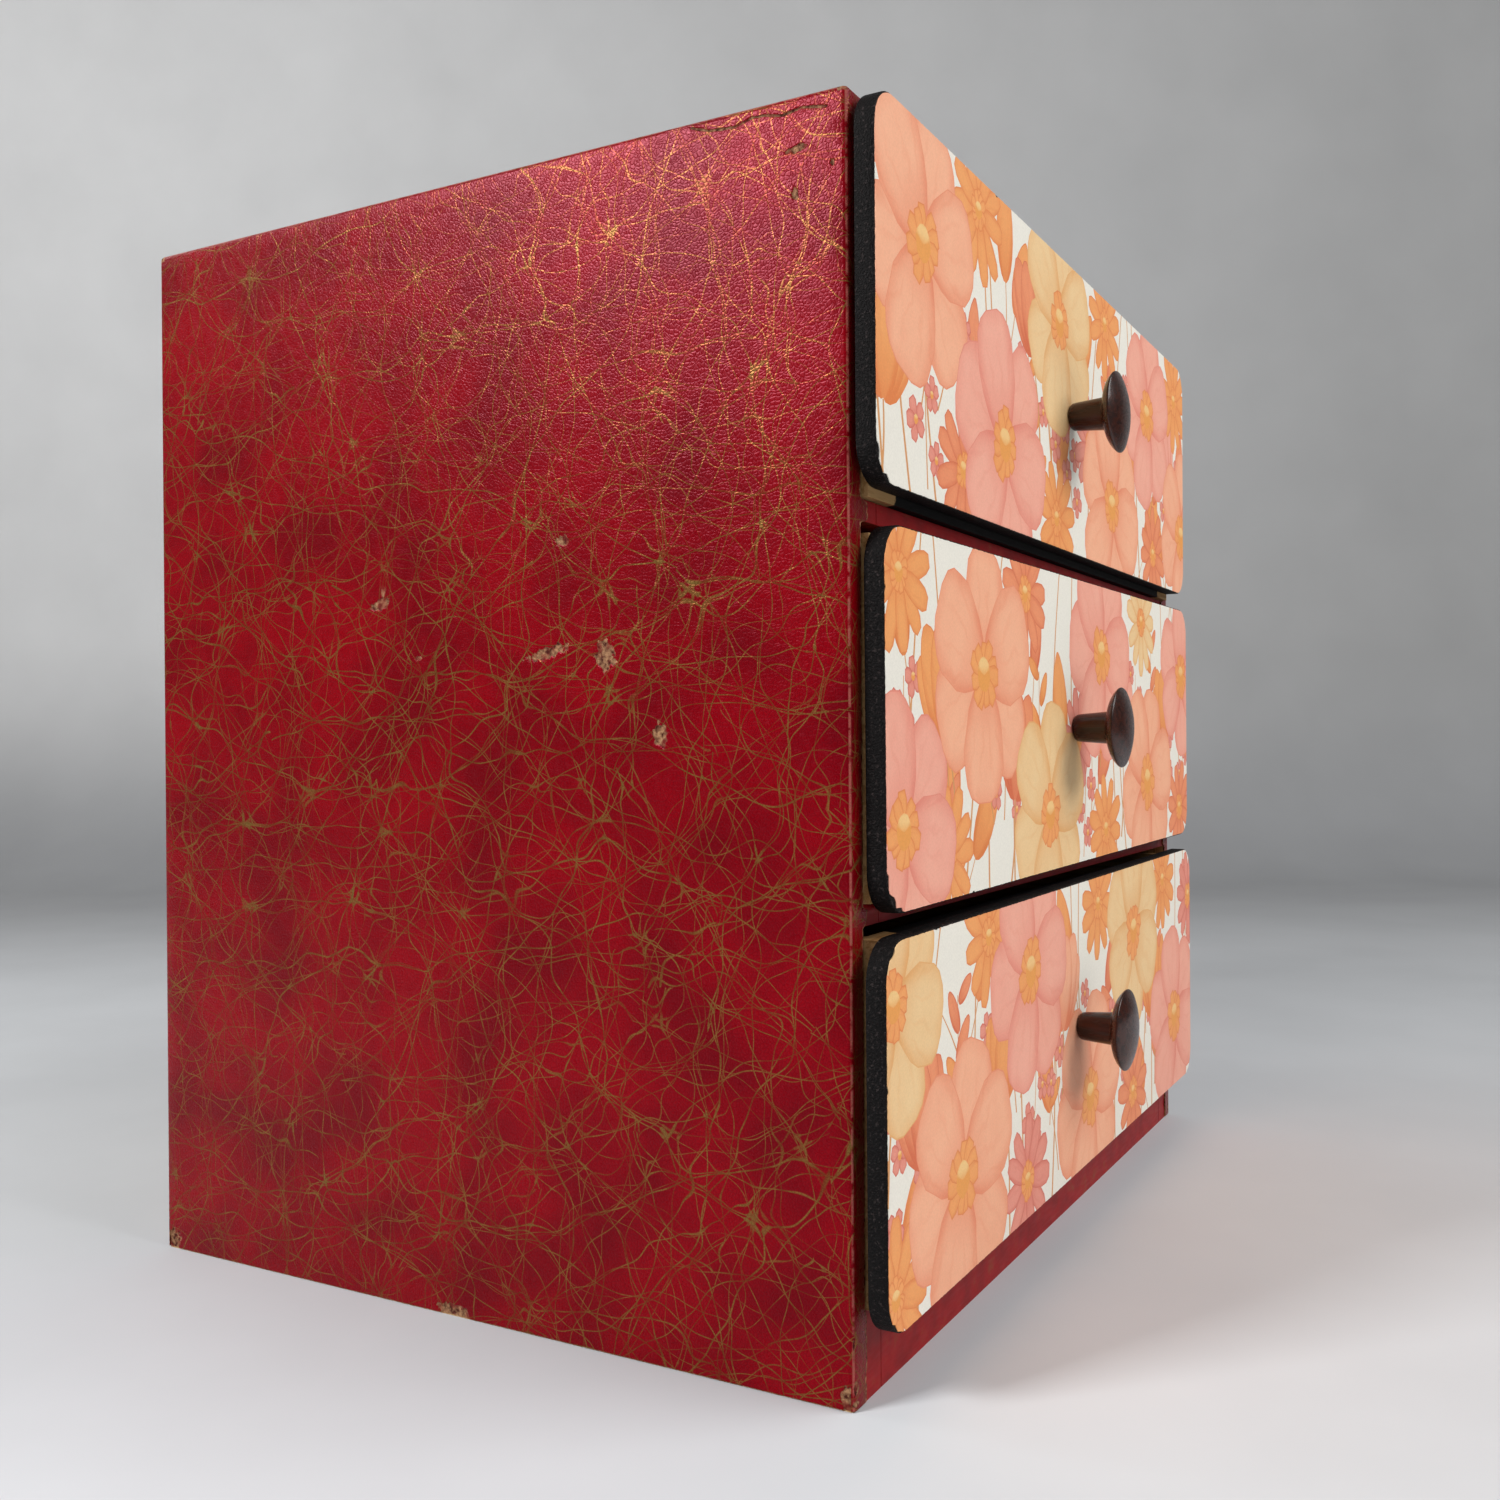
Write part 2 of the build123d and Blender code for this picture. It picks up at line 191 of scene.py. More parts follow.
# ---------------------------------------------------------------- nails
# Flat-headed wire nails and screws of bright drawn steel: small grey glints that are dulled by
# brown specks of rust.
wire_steel, tree, shader, place = new_finish("drawn_steel_wire")
tarnish = add(tree, "TexNoise", {"Vector": place, "Scale": 900.0, "Detail": 3.0})
rusty = add(tree, "MapRange", (tarnish, 0.5, 0.72))
dull = add(tree, "MapRange", (rusty, 0.0, 1.0, 0.34, 0.7))
feed(tree, shader, {"Base Color": blend_inks(tree, rusty, ink("#8f8b86"), ink("#5e4433")),
                    "Roughness": dull, "Metallic": 0.9})
finish_with(wire_steel, "side_nails", "top_nails", "back_nails", "bottom_nails",
            *[f"{drawer}_drawer_{kind}" for drawer in ("bottom", "middle", "top")
              for kind in ("nails", "knob_screw")])


# ---------------------------------------------------------------- leatherette
# One sheet of embossed, printed leatherette glued over both sides and the top, turned in over the
# front edges and onto the back. It is torn in spots on the left side and frayed at the corners.
def take(obj):
    """Select one piece alone."""
    bpy.ops.object.select_all(action="DESELECT")
    obj.select_set(True)
    bpy.context.view_layer.objects.active = obj


def select_every(mode):
    """Select all corners, edges or faces of the piece at work."""
    bpy.ops.mesh.select_mode(type=mode)
    bpy.ops.mesh.select_all(action="SELECT")


def enter(obj, mode):
    """Work on one piece alone, with all of its corners, edges or faces selected."""
    take(obj)
    bpy.ops.object.mode_set(mode="EDIT")
    select_every(mode)


def pick(obj, test):
    """Select only the faces, edges or corners whose middle passes the test."""
    bpy.ops.mesh.select_all(action="DESELECT")
    shape = bmesh.from_edit_mesh(obj.data)
    mode = bpy.context.tool_settings.mesh_select_mode
    for part in shape.verts if mode[0] else shape.edges if mode[1] else shape.faces:
        if mode[0]:
            middle, facing = part.co, part.normal
        elif mode[1]:
            middle, facing = (part.verts[0].co + part.verts[1].co) / 2, None
        else:
            middle, facing = part.calc_center_median(), part.normal
        if test(middle, facing):
            part.select_set(True)
    shape.select_flush_mode()
    bmesh.update_edit_mesh(obj.data)


sheet_w, sheet_d, sheet_h = 0.300, 0.230, 0.300
sheet_t, sheet_lift, sheet_round = 0.0005, 0.0004, 0.0013
# Inner and lower lines of the border at the front and at the back, and the heights of the runners.
front_inner, front_low, back_inner, back_low = 0.1425, 0.2955, 0.140, 0.290
runner_feet = (0.10933, 0.20267)

bpy.ops.mesh.primitive_cube_add(size=1, location=(0, 0, (sheet_h + sheet_lift) / 2))
wrap = bpy.context.object
wrap.name = "leatherette"
wrap.scale = (sheet_w, sheet_d, sheet_h - sheet_lift)
bpy.ops.object.transform_apply(location=True, rotation=True, scale=True)
enter(wrap, "FACE")
pick(wrap, lambda p, n: n.z < -0.9)
bpy.ops.mesh.delete(type="ONLY_FACE")
bpy.ops.mesh.select_mode(type="EDGE")
pick(wrap, lambda p, n: p.z > 0.299 or (abs(p.x) > 0.149 and abs(p.y) > 0.114))
bpy.ops.mesh.bevel(offset=sheet_round, segments=3, affect="EDGES")


def cut(across, at):
    """Cut a line through the whole sheet, square to one axis."""
    bpy.ops.mesh.select_all(action="SELECT")
    normal = [0.0, 0.0, 0.0]
    normal[across] = 1.0
    place = [value * at for value in normal]
    bpy.ops.mesh.bisect(plane_co=place, plane_no=normal)


# The turned-in border is left at the front, ending on the rails, and a narrow one at the back.
for across, at in ((0, -front_inner), (0, front_inner), (2, front_low), (0, -back_inner),
                   (0, back_inner), (2, back_low), (0, -0.1435), (0, 0.1435)):
    cut(across, at)
bpy.ops.mesh.select_mode(type="FACE")
pick(wrap, lambda p, n: n.y < -0.9 and abs(p.x) < front_inner and p.z < front_low)
bpy.ops.mesh.delete(type="FACE")
pick(wrap, lambda p, n: n.y > 0.9 and abs(p.x) < back_inner and p.z < back_low)
bpy.ops.mesh.delete(type="FACE")
for step in range(1, 50):
    cut(2, sheet_h * step / 50)
for step in range(-19, 20):
    cut(1, sheet_d * step / 40)
for step in range(-24, 25):
    cut(0, sheet_w * step / 50)

# Torn spots of each side as (y, z, half length, half height, turn): the face layer is gone and the
# tan backing shows. The crack over the top joint is a line through (y, z) places.
torn_left = [(-0.0479, 0.1738, 0.0030, 0.0042, 10), (-0.0300, 0.1750, 0.0072, 0.0014, 14),
             (-0.0640, 0.1538, 0.0020, 0.0030, 0), (0.0266, 0.1901, 0.0034, 0.0015, 15),
             (-0.0350, 0.2030, 0.0020, 0.0014, 20), (0.0025, 0.0016, 0.0050, 0.0019, 0),
             (-0.1023, 0.2879, 0.0026, 0.0008, 12), (-0.1017, 0.2773, 0.0009, 0.0016, 0),
             (-0.1112, 0.2827, 0.0006, 0.0007, 0), (0.1125, 0.0020, 0.0030, 0.0040, 0),
             (-0.1135, 0.0030, 0.0020, 0.0030, 0), (0.0130, 0.1750, 0.0012, 0.0006, 5)]
torn_right = [(0.0520, 0.0990, 0.0030, 0.0018, 30), (-0.0700, 0.2300, 0.0016, 0.0022, 0),
              (-0.0150, 0.0014, 0.0040, 0.0016, 0), (0.1120, 0.0022, 0.0028, 0.0036, 0)]
crack_left = [(-0.0740, 0.2985), (-0.0790, 0.2968), (-0.0860, 0.2962), (-0.0905, 0.2974),
              (-0.0940, 0.2972), (-0.0985, 0.2962), (-0.1035, 0.2970), (-0.1098, 0.2959)]


def tear(y, z, spots):
    """How deep the face is torn at a place on a side, from 0 to 1."""
    deepest = 0.0
    rag = noise.noise(Vector((y, z, 0.0)) * 700) + 0.6 * noise.noise(Vector((y, z, 3.0)) * 1700)
    for spot_y, spot_z, long, high, turn in spots:
        c, s = math.cos(math.radians(turn)), math.sin(math.radians(turn))
        along = ((y - spot_y) * c - (z - spot_z) * s) / long
        over = ((y - spot_y) * s + (z - spot_z) * c) / high
        far = math.hypot(along, over) + 0.55 * rag
        deepest = max(deepest, min(1.0, max(0.0, (1.05 - far) / 0.22)))
    return deepest


def crack(y, z):
    """How open the crack over the top joint is at a place on the left side, from 0 to 1."""
    nearest = 1.0
    for (y0, z0), (y1, z1) in zip(crack_left, crack_left[1:]):
        dy, dz = y1 - y0, z1 - z0
        t = min(1.0, max(0.0, ((y - y0) * dy + (z - z0) * dz) / (dy * dy + dz * dz)))
        nearest = min(nearest, math.hypot(y - y0 - t * dy, z - z0 - t * dz))
    width = 0.00028 + 0.00016 * noise.noise(Vector((y, z, 0)) * 400)
    return min(1.0, max(0.0, (width - nearest) / 0.00012 + 0.5))


def near_wear(p):
    """True where the sheet needs a finer mesh for its tears, crack and frayed corners."""
    if p.x < -0.149:
        close = any(math.hypot((p.y - y) / (long + 0.0025), (p.z - z) / (high + 0.0025)) < 1.15
                    for y, z, long, high, turn in torn_left)
        return close or (-0.113 < p.y < -0.072 and p.z > 0.2935)
    if p.x > 0.149:
        return any(math.hypot((p.y - y) / (long + 0.0025), (p.z - z) / (high + 0.0025)) < 1.15
                   for y, z, long, high, turn in torn_right)
    return False


for spread, cuts in ((0.0030, 2), (0.0, 2), (0.0, 1)):
    pick(wrap, lambda p, n: near_wear(p) or (spread and near_wear(p + Vector((0, spread, 0))))
         or (spread and near_wear(p + Vector((0, -spread, spread)))))
    bpy.ops.mesh.subdivide(number_cuts=cuts)

# The front border is cut finer too, so that its ragged edge can be drawn.
bpy.ops.mesh.select_mode(type="EDGE")
pick(wrap, lambda p, n: p.y < -0.1149 and p.z < 0.294)
shape = bmesh.from_edit_mesh(wrap.data)
for edge in shape.edges:
    a, b = edge.verts[0].co, edge.verts[1].co
    if edge.select and abs(a.z - b.z) < 1e-5:
        edge.select_set(False)
bmesh.update_edit_mesh(wrap.data)
bpy.ops.mesh.subdivide(number_cuts=5)
bpy.ops.object.mode_set(mode="OBJECT")

# On the base and the runners the border runs 6.4 mm in at the foot and 10 mm at the upper rail, on a
# ragged line, and between them it stops at the panel's edge, clear of the drawers.
sheet = wrap.data
sheet.attributes.new("torn", "FLOAT", "POINT")
torn = sheet.attributes["torn"].data
for corner, value in zip(sheet.vertices, torn):
    p = corner.co
    hand = -1 if p.x < 0 else 1
    if p.y < -0.1149 and 0.1423 < abs(p.x) < 0.1441 and p.z < front_low:
        column = 0 if abs(p.x) < 0.1430 else 1 if abs(p.x) < 0.1437 else 2
        reach = 0.0064 + 0.0034 * min(1.0, p.z / 0.205)
        rag = 0.0007 * noise.noise(Vector((hand, 0, p.z * 260)))
        rag += 0.0006 * noise.noise(Vector((hand, 5, p.z * 900)))
        on_wood = p.z < 0.0205 or any(low + 0.0003 < p.z < low + 0.0045 for low in runner_feet)
        if not on_wood:
            reach, rag = 0.0060, 0.15 * rag
        inner = 0.150 - reach - rag + 0.0010 * column
        p.x = hand * (inner if column < 2 else max(0.1440, inner))
        value.value = 0.8 if column == 0 else 0.0
    elif p.x < -0.1499 and 0.0012 < p.z:
        value.value = max(tear(p.y, p.z, torn_left), crack(p.y, p.z))
    elif p.x < -0.1499:
        value.value = tear(p.y, 0.0012, torn_left)
    elif p.x > 0.1499:
        value.value = tear(p.y, p.z, torn_right)
    if abs(p.x) > 0.1499:
        rim = math.sin(min(1.0, value.value * 1.3) * math.pi) if value.value < 0.75 else 0.0
        rough = 0.00006 * noise.noise(p * 2600)
        p.x -= hand * (0.00030 * value.value + rough * value.value - 0.00008 * rim)
        p.x -= hand * 0.00005 * (1 + noise.noise(p * 22))
    elif p.z > 0.2999:
        p.z -= 0.00005 * (1 + noise.noise(p * 22))

# Where each place of the wrap lay on the flat sheet, in metres, so that the print runs over edges.
flat = sheet.uv_layers.new(name="flat_sheet")
for face in sheet.polygons:
    for loop in face.loop_indices:
        p = sheet.vertices[sheet.loops[loop].vertex_index].co
        on_side = abs(face.normal.x) > abs(face.normal.z)
        if abs(face.normal.y) > 0.8:
            on_side = abs(p.x) > 0.139 and p.z < front_low
        if on_side:
            up, fold = p.z, 0.150 - abs(p.x)
            over = up if p.x < 0 else 2 * sheet_h + sheet_w - up
        else:
            over, fold = sheet_h + p.x + sheet_w / 2, sheet_h - p.z
        fold = fold if abs(face.normal.y) > 0.8 else 0.0
        across = p.y - fold if p.y < 0 else p.y + fold
        flat.data[loop].uv = (across, over)

# Torn, lifted or worn-through places are drawn where the mesh says. The rest of the finish is
# embossed PVC-coated paper: crimson, with a gold-brown thread print and a fine leather grain that
# breaks up its satin gloss.
leatherette, tree, shader, place = new_finish("printed_leatherette")
sheet_uv = add(tree, "UVMap", uv_map="flat_sheet")


def drift(source, wave_mm, reach_mm, seed, detail=1.0):
    """Push a place on the sheet sideways by a soft noise, so that straight lines wander."""
    moved = add(tree, "VectorMath:ADD", (source, (seed, seed * 0.7, 0)))
    field = add(tree, "TexNoise", {"Vector": moved, "Scale": 1000 / wave_mm,
                                   "Detail": detail}, noise_dimensions="2D")
    centred = add(tree, "VectorMath:SUBTRACT", (field.outputs["Color"], (0.5, 0.5, 0.5)))
    push = add(tree, "VectorMath:SCALE", {0: centred, 3: reach_mm / 1000 * 4})
    return add(tree, "VectorMath:ADD", (moved, push))


def line(distance, width):
    """1 on a thread and 0 off it, with a soft side."""
    return add(tree, "MapRange", (distance, width * 0.75, width * 0.3))


def threads(where, crowding, turn, apart_mm, width_mm, seed):
    """Long threads that each wander on their own across the sheet, all roughly one way."""
    turned = add(tree, "Mapping", {"Vector": where, "Rotation": (0, 0, math.radians(turn)),
                                   "Location": (seed * 0.37, seed * 0.59, 0)})
    run = add(tree, "SeparateXYZ", (turned,))
    lane = add(tree, "Math:MULTIPLY", (run.outputs["Y"], 1000 / apart_mm))
    number = add(tree, "Math:FLOOR", (lane,))
    in_lane = add(tree, "Math:SUBTRACT", (lane, number))
    own = add(tree, "Math:MULTIPLY_ADD", (number, 0.53, seed))
    lane_place = add(tree, "CombineXYZ", (run.outputs["X"], own))
    sway = add(tree, "TexNoise", {"Vector": lane_place, "Scale": 1000 / 52.0, "Detail": 2.0,
                                  "Roughness": 0.4}, noise_dimensions="2D")
    middle = add(tree, "Math:MULTIPLY_ADD", (sway, 1.9, -0.45))
    gap = follow(tree, in_lane, ("Math:SUBTRACT", middle), ("Math:ABSOLUTE",), ("Math:MULTIPLY",
                                                                                apart_mm / 1000))
    dice = add(tree, "TexWhiteNoise", {"W": own}, noise_dimensions="1D").outputs["Value"]
    thick = follow(tree, dice, ("Math:MULTIPLY_ADD", 0.55, 0.7), ("Math:MULTIPLY", crowding))
    gap = add(tree, "Math:DIVIDE", (gap, thick))
    strength = add(tree, "Math:MULTIPLY_ADD", (dice, 0.5, 0.48))
    return add(tree, "Math:MULTIPLY", (line(gap, width_mm / 1000), strength))


# Knots: the sheet is drawn together round them, so that the threads run into a blot from all sides.
def draw_together(source, cell_mm, reach_mm, share, blot_mm):
    """Pinch a place towards scattered knots: the place to draw at, thread growth and blot there."""
    cells = add(tree, "TexVoronoi", {"Vector": source, "Scale": 1000 / cell_mm},
                voronoi_dimensions="2D", feature="F1")
    spoke = add(tree, "VectorMath:SUBTRACT", (source, cells.outputs["Position"]))
    reach = add(tree, "VectorMath:LENGTH", (spoke,)).outputs["Value"]
    tone = add(tree, "SeparateColor", {"Color": cells.outputs["Color"]})
    chosen = add(tree, "Math:LESS_THAN", (tone.outputs["Red"], share))
    pull = follow(tree, reach, ("MapRange", reach_mm / 1000, 0.0, 0.0, 1.4), ("Math:POWER", 2.0),
                  ("Math:MULTIPLY", chosen))
    moved = add(tree, "VectorMath:SCALE", {0: spoke, 3: pull})
    place = add(tree, "VectorMath:ADD", (source, moved))
    size = add(tree, "Math:MULTIPLY_ADD", (tone.outputs["Green"], blot_mm / 1000, -0.0018))
    size = add(tree, "Math:MULTIPLY_ADD", (ragged, 0.0036, size))
    blot = follow(tree, reach, ("Math:SUBTRACT", size), ("MapRange", 0.0007, -0.0005),
                  ("Math:MULTIPLY", chosen))
    growth = add(tree, "Math:MULTIPLY_ADD", (pull, 0.75, 1.0))
    growth = add(tree, "Math:MULTIPLY_ADD", (blot, 4.2, growth))
    return place, growth, blot


ragged = add(tree, "TexNoise", {"Vector": sheet_uv, "Scale": 1000 / 2.4, "Detail": 2.0},
             noise_dimensions="2D")
gathered, growth, blot = draw_together(drift(sheet_uv, 30, 2.0, 1.73), 25, 10.5, 0.72, 3.1)
astray, stray_growth, stray_blot = draw_together(drift(sheet_uv, 22, 1.7, 0.4), 17, 7, 0.5, 2.0)
layers = []
for i in range(18):
    where, crowding = (astray, stray_growth) if i % 2 else (gathered, growth)
    layers.append(threads(where, crowding, 11 + 180 * i / 18 + 7 * (i % 3), 22 - i % 4,
                          (0.27, 0.21, 0.24, 0.19)[i % 4], 1.7 * i + 0.3))
blot = add(tree, "Math:MAXIMUM", (blot, stray_blot))

# The print fades and comes back along each thread.
print_ink = layers[0]
for layer in layers[1:]:
    print_ink = add(tree, "Math:MAXIMUM", (print_ink, layer))
wear_field = add(tree, "TexNoise", {"Vector": sheet_uv, "Scale": 1000 / 7.0, "Detail": 2.0},
                 noise_dimensions="2D")
kept_ink = add(tree, "MapRange", (wear_field, 0.3, 0.55, 0.6, 1.0))
print_ink = add(tree, "Math:MULTIPLY", (print_ink, kept_ink))

cloud = add(tree, "TexNoise", {"Vector": sheet_uv, "Scale": 1000 / 28.0, "Detail": 4.0},
            noise_dimensions="2D")
deep = add(tree, "MapRange", (cloud, 0.35, 0.68))
crimson = blend_inks(tree, deep, ink("#89000c"), ink("#6d0009"))
gold = blend_inks(tree, add(tree, "MapRange", (wear_field, 0.35, 0.65)), ink("#664920"), ink("#836130"))
olive = blend_inks(tree, blot, gold, ink("#7a6230"))
face = blend_inks(tree, print_ink, crimson, olive)

# Leather grain: pebbles about 1 mm across with creases between them.
grain = add(tree, "TexVoronoi", {"Vector": drift(sheet_uv, 3, 0.35, 0.9), "Scale": 1000 / 0.95},
            voronoi_dimensions="2D", feature="DISTANCE_TO_EDGE")
crease = add(tree, "MapRange", (grain.outputs["Distance"], 0.0, 0.28))
swell = add(tree, "TexNoise", {"Vector": sheet_uv, "Scale": 1000 / 2.6, "Detail": 2.0},
            noise_dimensions="2D")
height = add(tree, "Math:MULTIPLY_ADD", (swell, 0.9, crease))
relief = add(tree, "Bump", {"Strength": 1.0, "Distance": 0.000032, "Height": height})
# The creases are also darkened in the colour: painted shade standing in for the shading of the embossed
# grain.
face = blend_inks(tree, add(tree, "MapRange", (crease, 0.5, 0.0, 0.0, 0.42)), face, ink("#5d0610"))

# Edges rub pale first, and the tan paper backing shows in the tears.
corner = add(tree, "SeparateXYZ", (place,))
near_x = add(tree, "Math:SUBTRACT", (add(tree, "Math:ABSOLUTE", (corner.outputs["X"],)), 0.150))
near_y = add(tree, "Math:SUBTRACT", (add(tree, "Math:ABSOLUTE", (corner.outputs["Y"],)), 0.115))
near_z = add(tree, "Math:SUBTRACT", (corner.outputs["Z"], 0.300))
low_xy = add(tree, "Math:MINIMUM", (near_x, near_y))
high_xy = add(tree, "Math:MAXIMUM", (near_x, near_y))
arris = add(tree, "Math:MINIMUM", (high_xy, near_z))
arris = add(tree, "Math:MAXIMUM", (low_xy, arris))
scuff = add(tree, "TexNoise", {"Vector": place, "Scale": 260.0, "Detail": 4.0, "Roughness": 0.65})
scuffed = add(tree, "Math:MULTIPLY_ADD", (scuff, 0.0034, arris))
rubbed = add(tree, "MapRange", (scuffed, 0.0014, 0.0021, 0.0, 0.8))
face = blend_inks(tree, rubbed, face, ink("#6a2a26"))
# A pale pink dashed line along the middle of each rounded edge: partly rubbed wear, partly a painted
# highlight where the fold catches the light.
arris_wear_and_highlight = add(tree, "MapRange", (arris, -0.00072, -0.00052))
dashes = add(tree, "MapRange", (scuff, 0.40, 0.52, 0.0, 0.75))
arris_wear_and_highlight = add(tree, "Math:MULTIPLY", (arris_wear_and_highlight, dashes))
face = blend_inks(tree, arris_wear_and_highlight, face, ink("#b5655a"))
worn_through = add(tree, "MapRange", (scuffed, 0.0021, 0.0025))
for centre, half in (((-0.1488, -0.1150, 0.0056), (0.0013, 0.0006, 0.0016)),
                     ((-0.1488, -0.1148, 0.0018), (0.0012, 0.0010, 0.0007)),
                     ((-0.1497, -0.1148, 0.0135), (0.0004, 0.0004, 0.0030)),
                     ((-0.1500, -0.1150, 0.3000), (0.0016, 0.0024, 0.0020)),
                     ((-0.1500, 0.1150, 0.3000), (0.0022, 0.0026, 0.0022)),
                     ((-0.1500, 0.1150, 0.0010), (0.0024, 0.0030, 0.0044)),
                     ((0.1495, -0.1150, 0.0030), (0.0022, 0.0016, 0.0034)),
                     ((0.1500, 0.1150, 0.3000), (0.0024, 0.0024, 0.0020)),
                     ((0.1500, 0.1150, 0.0010), (0.0022, 0.0026, 0.0030))):
    off = follow(tree, place, ("VectorMath:SUBTRACT", centre), ("VectorMath:DIVIDE", half))
    off = add(tree, "VectorMath:LENGTH", (off,)).outputs["Value"]
    off = add(tree, "Math:MULTIPLY_ADD", (scuff, 2.2, off))
    patch = add(tree, "MapRange", (off, 2.15, 1.95))
    worn_through = add(tree, "Math:MAXIMUM", (worn_through, patch))
torn_value = add(tree, "Attribute", attribute_name="torn").outputs["Fac"]
torn_value = add(tree, "MapRange", (torn_value, 0.25, 0.6))
bare = add(tree, "Math:MAXIMUM", (torn_value, worn_through))
fibre = add(tree, "TexNoise", {"Vector": place, "Scale": 800.0, "Detail": 4.0})
backing = blend_inks(tree, add(tree, "MapRange", (fibre, 0.38, 0.66)), ink("#3f1c12"), ink("#ad8460"))
remains = add(tree, "MapRange", (scuff, 0.50, 0.58, 0.0, 0.6))
backing = blend_inks(tree, remains, backing, ink("#7a2823"))
face = blend_inks(tree, bare, face, backing)
gloss = add(tree, "MapRange", (swell, 0.0, 1.0, 0.22, 0.38))
gloss = add(tree, "Math:MULTIPLY_ADD", (bare, 0.45, gloss))
shine = follow(tree, 1.0, ("Math:SUBTRACT", bare), ("Math:MULTIPLY", print_ink), ("Math:MULTIPLY", 0.42))
feed(tree, shader, {"Base Color": face, "Roughness": gloss, "Metallic": shine, "Normal": relief,
                    "Specular IOR Level": 0.3, "Specular Tint": ink("#ff7892")})
sheet.materials.append(leatherette)

# The wrap is parted where it lies flat, so that each side and the top keep their own print detail,
# and each part is given the thickness of the sheet.
covers = []
for name, test in (("leatherette_left", lambda p, n: p.x < -0.1465),
                   ("leatherette_right", lambda p, n: p.x > 0.1465), ("leatherette_top", None)):
    if test:
        enter(wrap, "FACE")
        pick(wrap, test)
        bpy.ops.mesh.separate(type="SELECTED")
        bpy.ops.object.mode_set(mode="OBJECT")
        cover = [o for o in bpy.context.selected_objects if o != wrap][0]
    else:
        cover = wrap
    cover.name = cover.data.name = name
    covers.append(cover)
for cover in covers:
    take(cover)
    thick = cover.modifiers.new("thickness", "SOLIDIFY")
    thick.thickness, thick.offset = sheet_t * 0.98, -1
    bpy.ops.object.modifier_apply(modifier=thick.name)
    bpy.ops.object.shade_smooth_by_angle(angle=math.radians(40))
    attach(cover, "cabinet")
    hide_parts("leatherette_wrap")


# ---------------------------------------------------------------- drawer boxes
# Nailed boxes of thin planed boards with a plywood tray in grooves, bare inside and out. The box's own
# front is painted near black where it shows in the gap under each front board: painted shade.
drawers = ("bottom", "middle", "top")
box_along = planed_board("planed_box_side", "#c8a06c", "#9c6f3e", 1, 6.0)
box_across = planed_board("planed_box_end", "#bf9765", "#93673a", 0, 6.0)
box_front_painted_shade = planed_board("box_front_with_painted_shade", "#bf9765", "#93673a", 0, 6.0)
tree = box_front_painted_shade.node_tree
shader = next(node for node in tree.nodes if node.type == "BSDF_PRINCIPLED")
wood = shader.inputs["Base Color"].links[0].from_socket
place = add(tree, "TexCoord").outputs["Object"]
corner = add(tree, "SeparateXYZ", (place,))
smear = add(tree, "TexNoise", {"Vector": place, "Scale": 220.0, "Detail": 3.0})
inside_x = add(tree, "Math:ABSOLUTE", (corner.outputs["X"],))
inside_x = add(tree, "Math:MULTIPLY_ADD", (smear, -0.006, inside_x))
not_side = add(tree, "MapRange", (inside_x, 0.1250, 0.1244))
depth = add(tree, "Math:MULTIPLY_ADD", (smear, 0.002, corner.outputs["Y"]))
at_front = add(tree, "MapRange", (depth, -0.1070, -0.1075))
# Painted shade: near black on the box front where it shows in the dark gap under each front board.
black = add(tree, "Math:MULTIPLY", (not_side, at_front))
feed(tree, shader, {"Base Color": blend_inks(tree, black, wood, ink("#060404")),
                    "Specular IOR Level": 0.15})
tray_ply = planed_board("plywood_tray", "#cbab7c", "#ab8455", 0, 12.0)
for drawer in drawers:
    finish_with(box_along, f"{drawer}_drawer_left_side", f"{drawer}_drawer_right_side")
    finish_with(box_across, f"{drawer}_drawer_back")
    finish_with(box_front_painted_shade, f"{drawer}_drawer_box_front")
    finish_with(tray_ply, f"{drawer}_drawer_bottom")


# ---------------------------------------------------------------- front boards
# Pressed hardboard fronts 5 mm thick with rounded corners. Their sawn edges are painted matt black:
# no shine, and a fine grey speckle where fibres stand up through the paint.
front_w, front_h, front_t, front_corner = 0.300, 0.0898, 0.005, 0.010
front_x = {"bottom": -0.001, "middle": 0.004, "top": 0.0}
front_z = {"bottom": 0.063, "middle": 0.158, "top": 0.255}
front_back_y = {"bottom": -0.1187, "middle": -0.1166, "top": -0.1165}
front_tilt = {"bottom": 0.3, "middle": 0.44, "top": 0.0}

black_edge, tree, shader, place = new_finish("matt_black_hardboard")
speck = add(tree, "TexNoise", {"Vector": place, "Scale": 1000.0, "Detail": 4.0, "Roughness": 0.7})
bare_speck = add(tree, "MapRange", (speck, 0.56, 0.68))
coat = blend_inks(tree, bare_speck, ink("#070404"), ink("#3c3433"))
dull = add(tree, "MapRange", (speck, 0.0, 1.0, 0.5, 0.8))
pits = add(tree, "TexNoise", {"Vector": place, "Scale": 1900.0, "Detail": 2.0})
relief = add(tree, "Bump", {"Strength": 1.0, "Distance": 0.0005, "Height": pits})
feed(tree, shader, {"Base Color": coat, "Roughness": dull, "Normal": relief, "Specular IOR Level": 0.15})


def into_place(drawer, front_y):
    """Stand a piece drawn flat round the origin up on its drawer, tilted as it was nailed."""
    return (Matrix.Translation((front_x[drawer], front_y, front_z[drawer]))
            @ Matrix.Rotation(math.radians(-front_tilt[drawer]), 4, "Y")
            @ Matrix.Rotation(math.radians(90), 4, "X"))


def copy_to_drawer(master, name, where):
    """Copy a finished piece with its own mesh, move that into place, and select it alone."""
    piece = master.copy()
    piece.data = master.data.copy()
    piece.name = piece.data.name = name
    bpy.context.scene.collection.objects.link(piece)
    piece.data.transform(where)
    take(piece)
    return piece


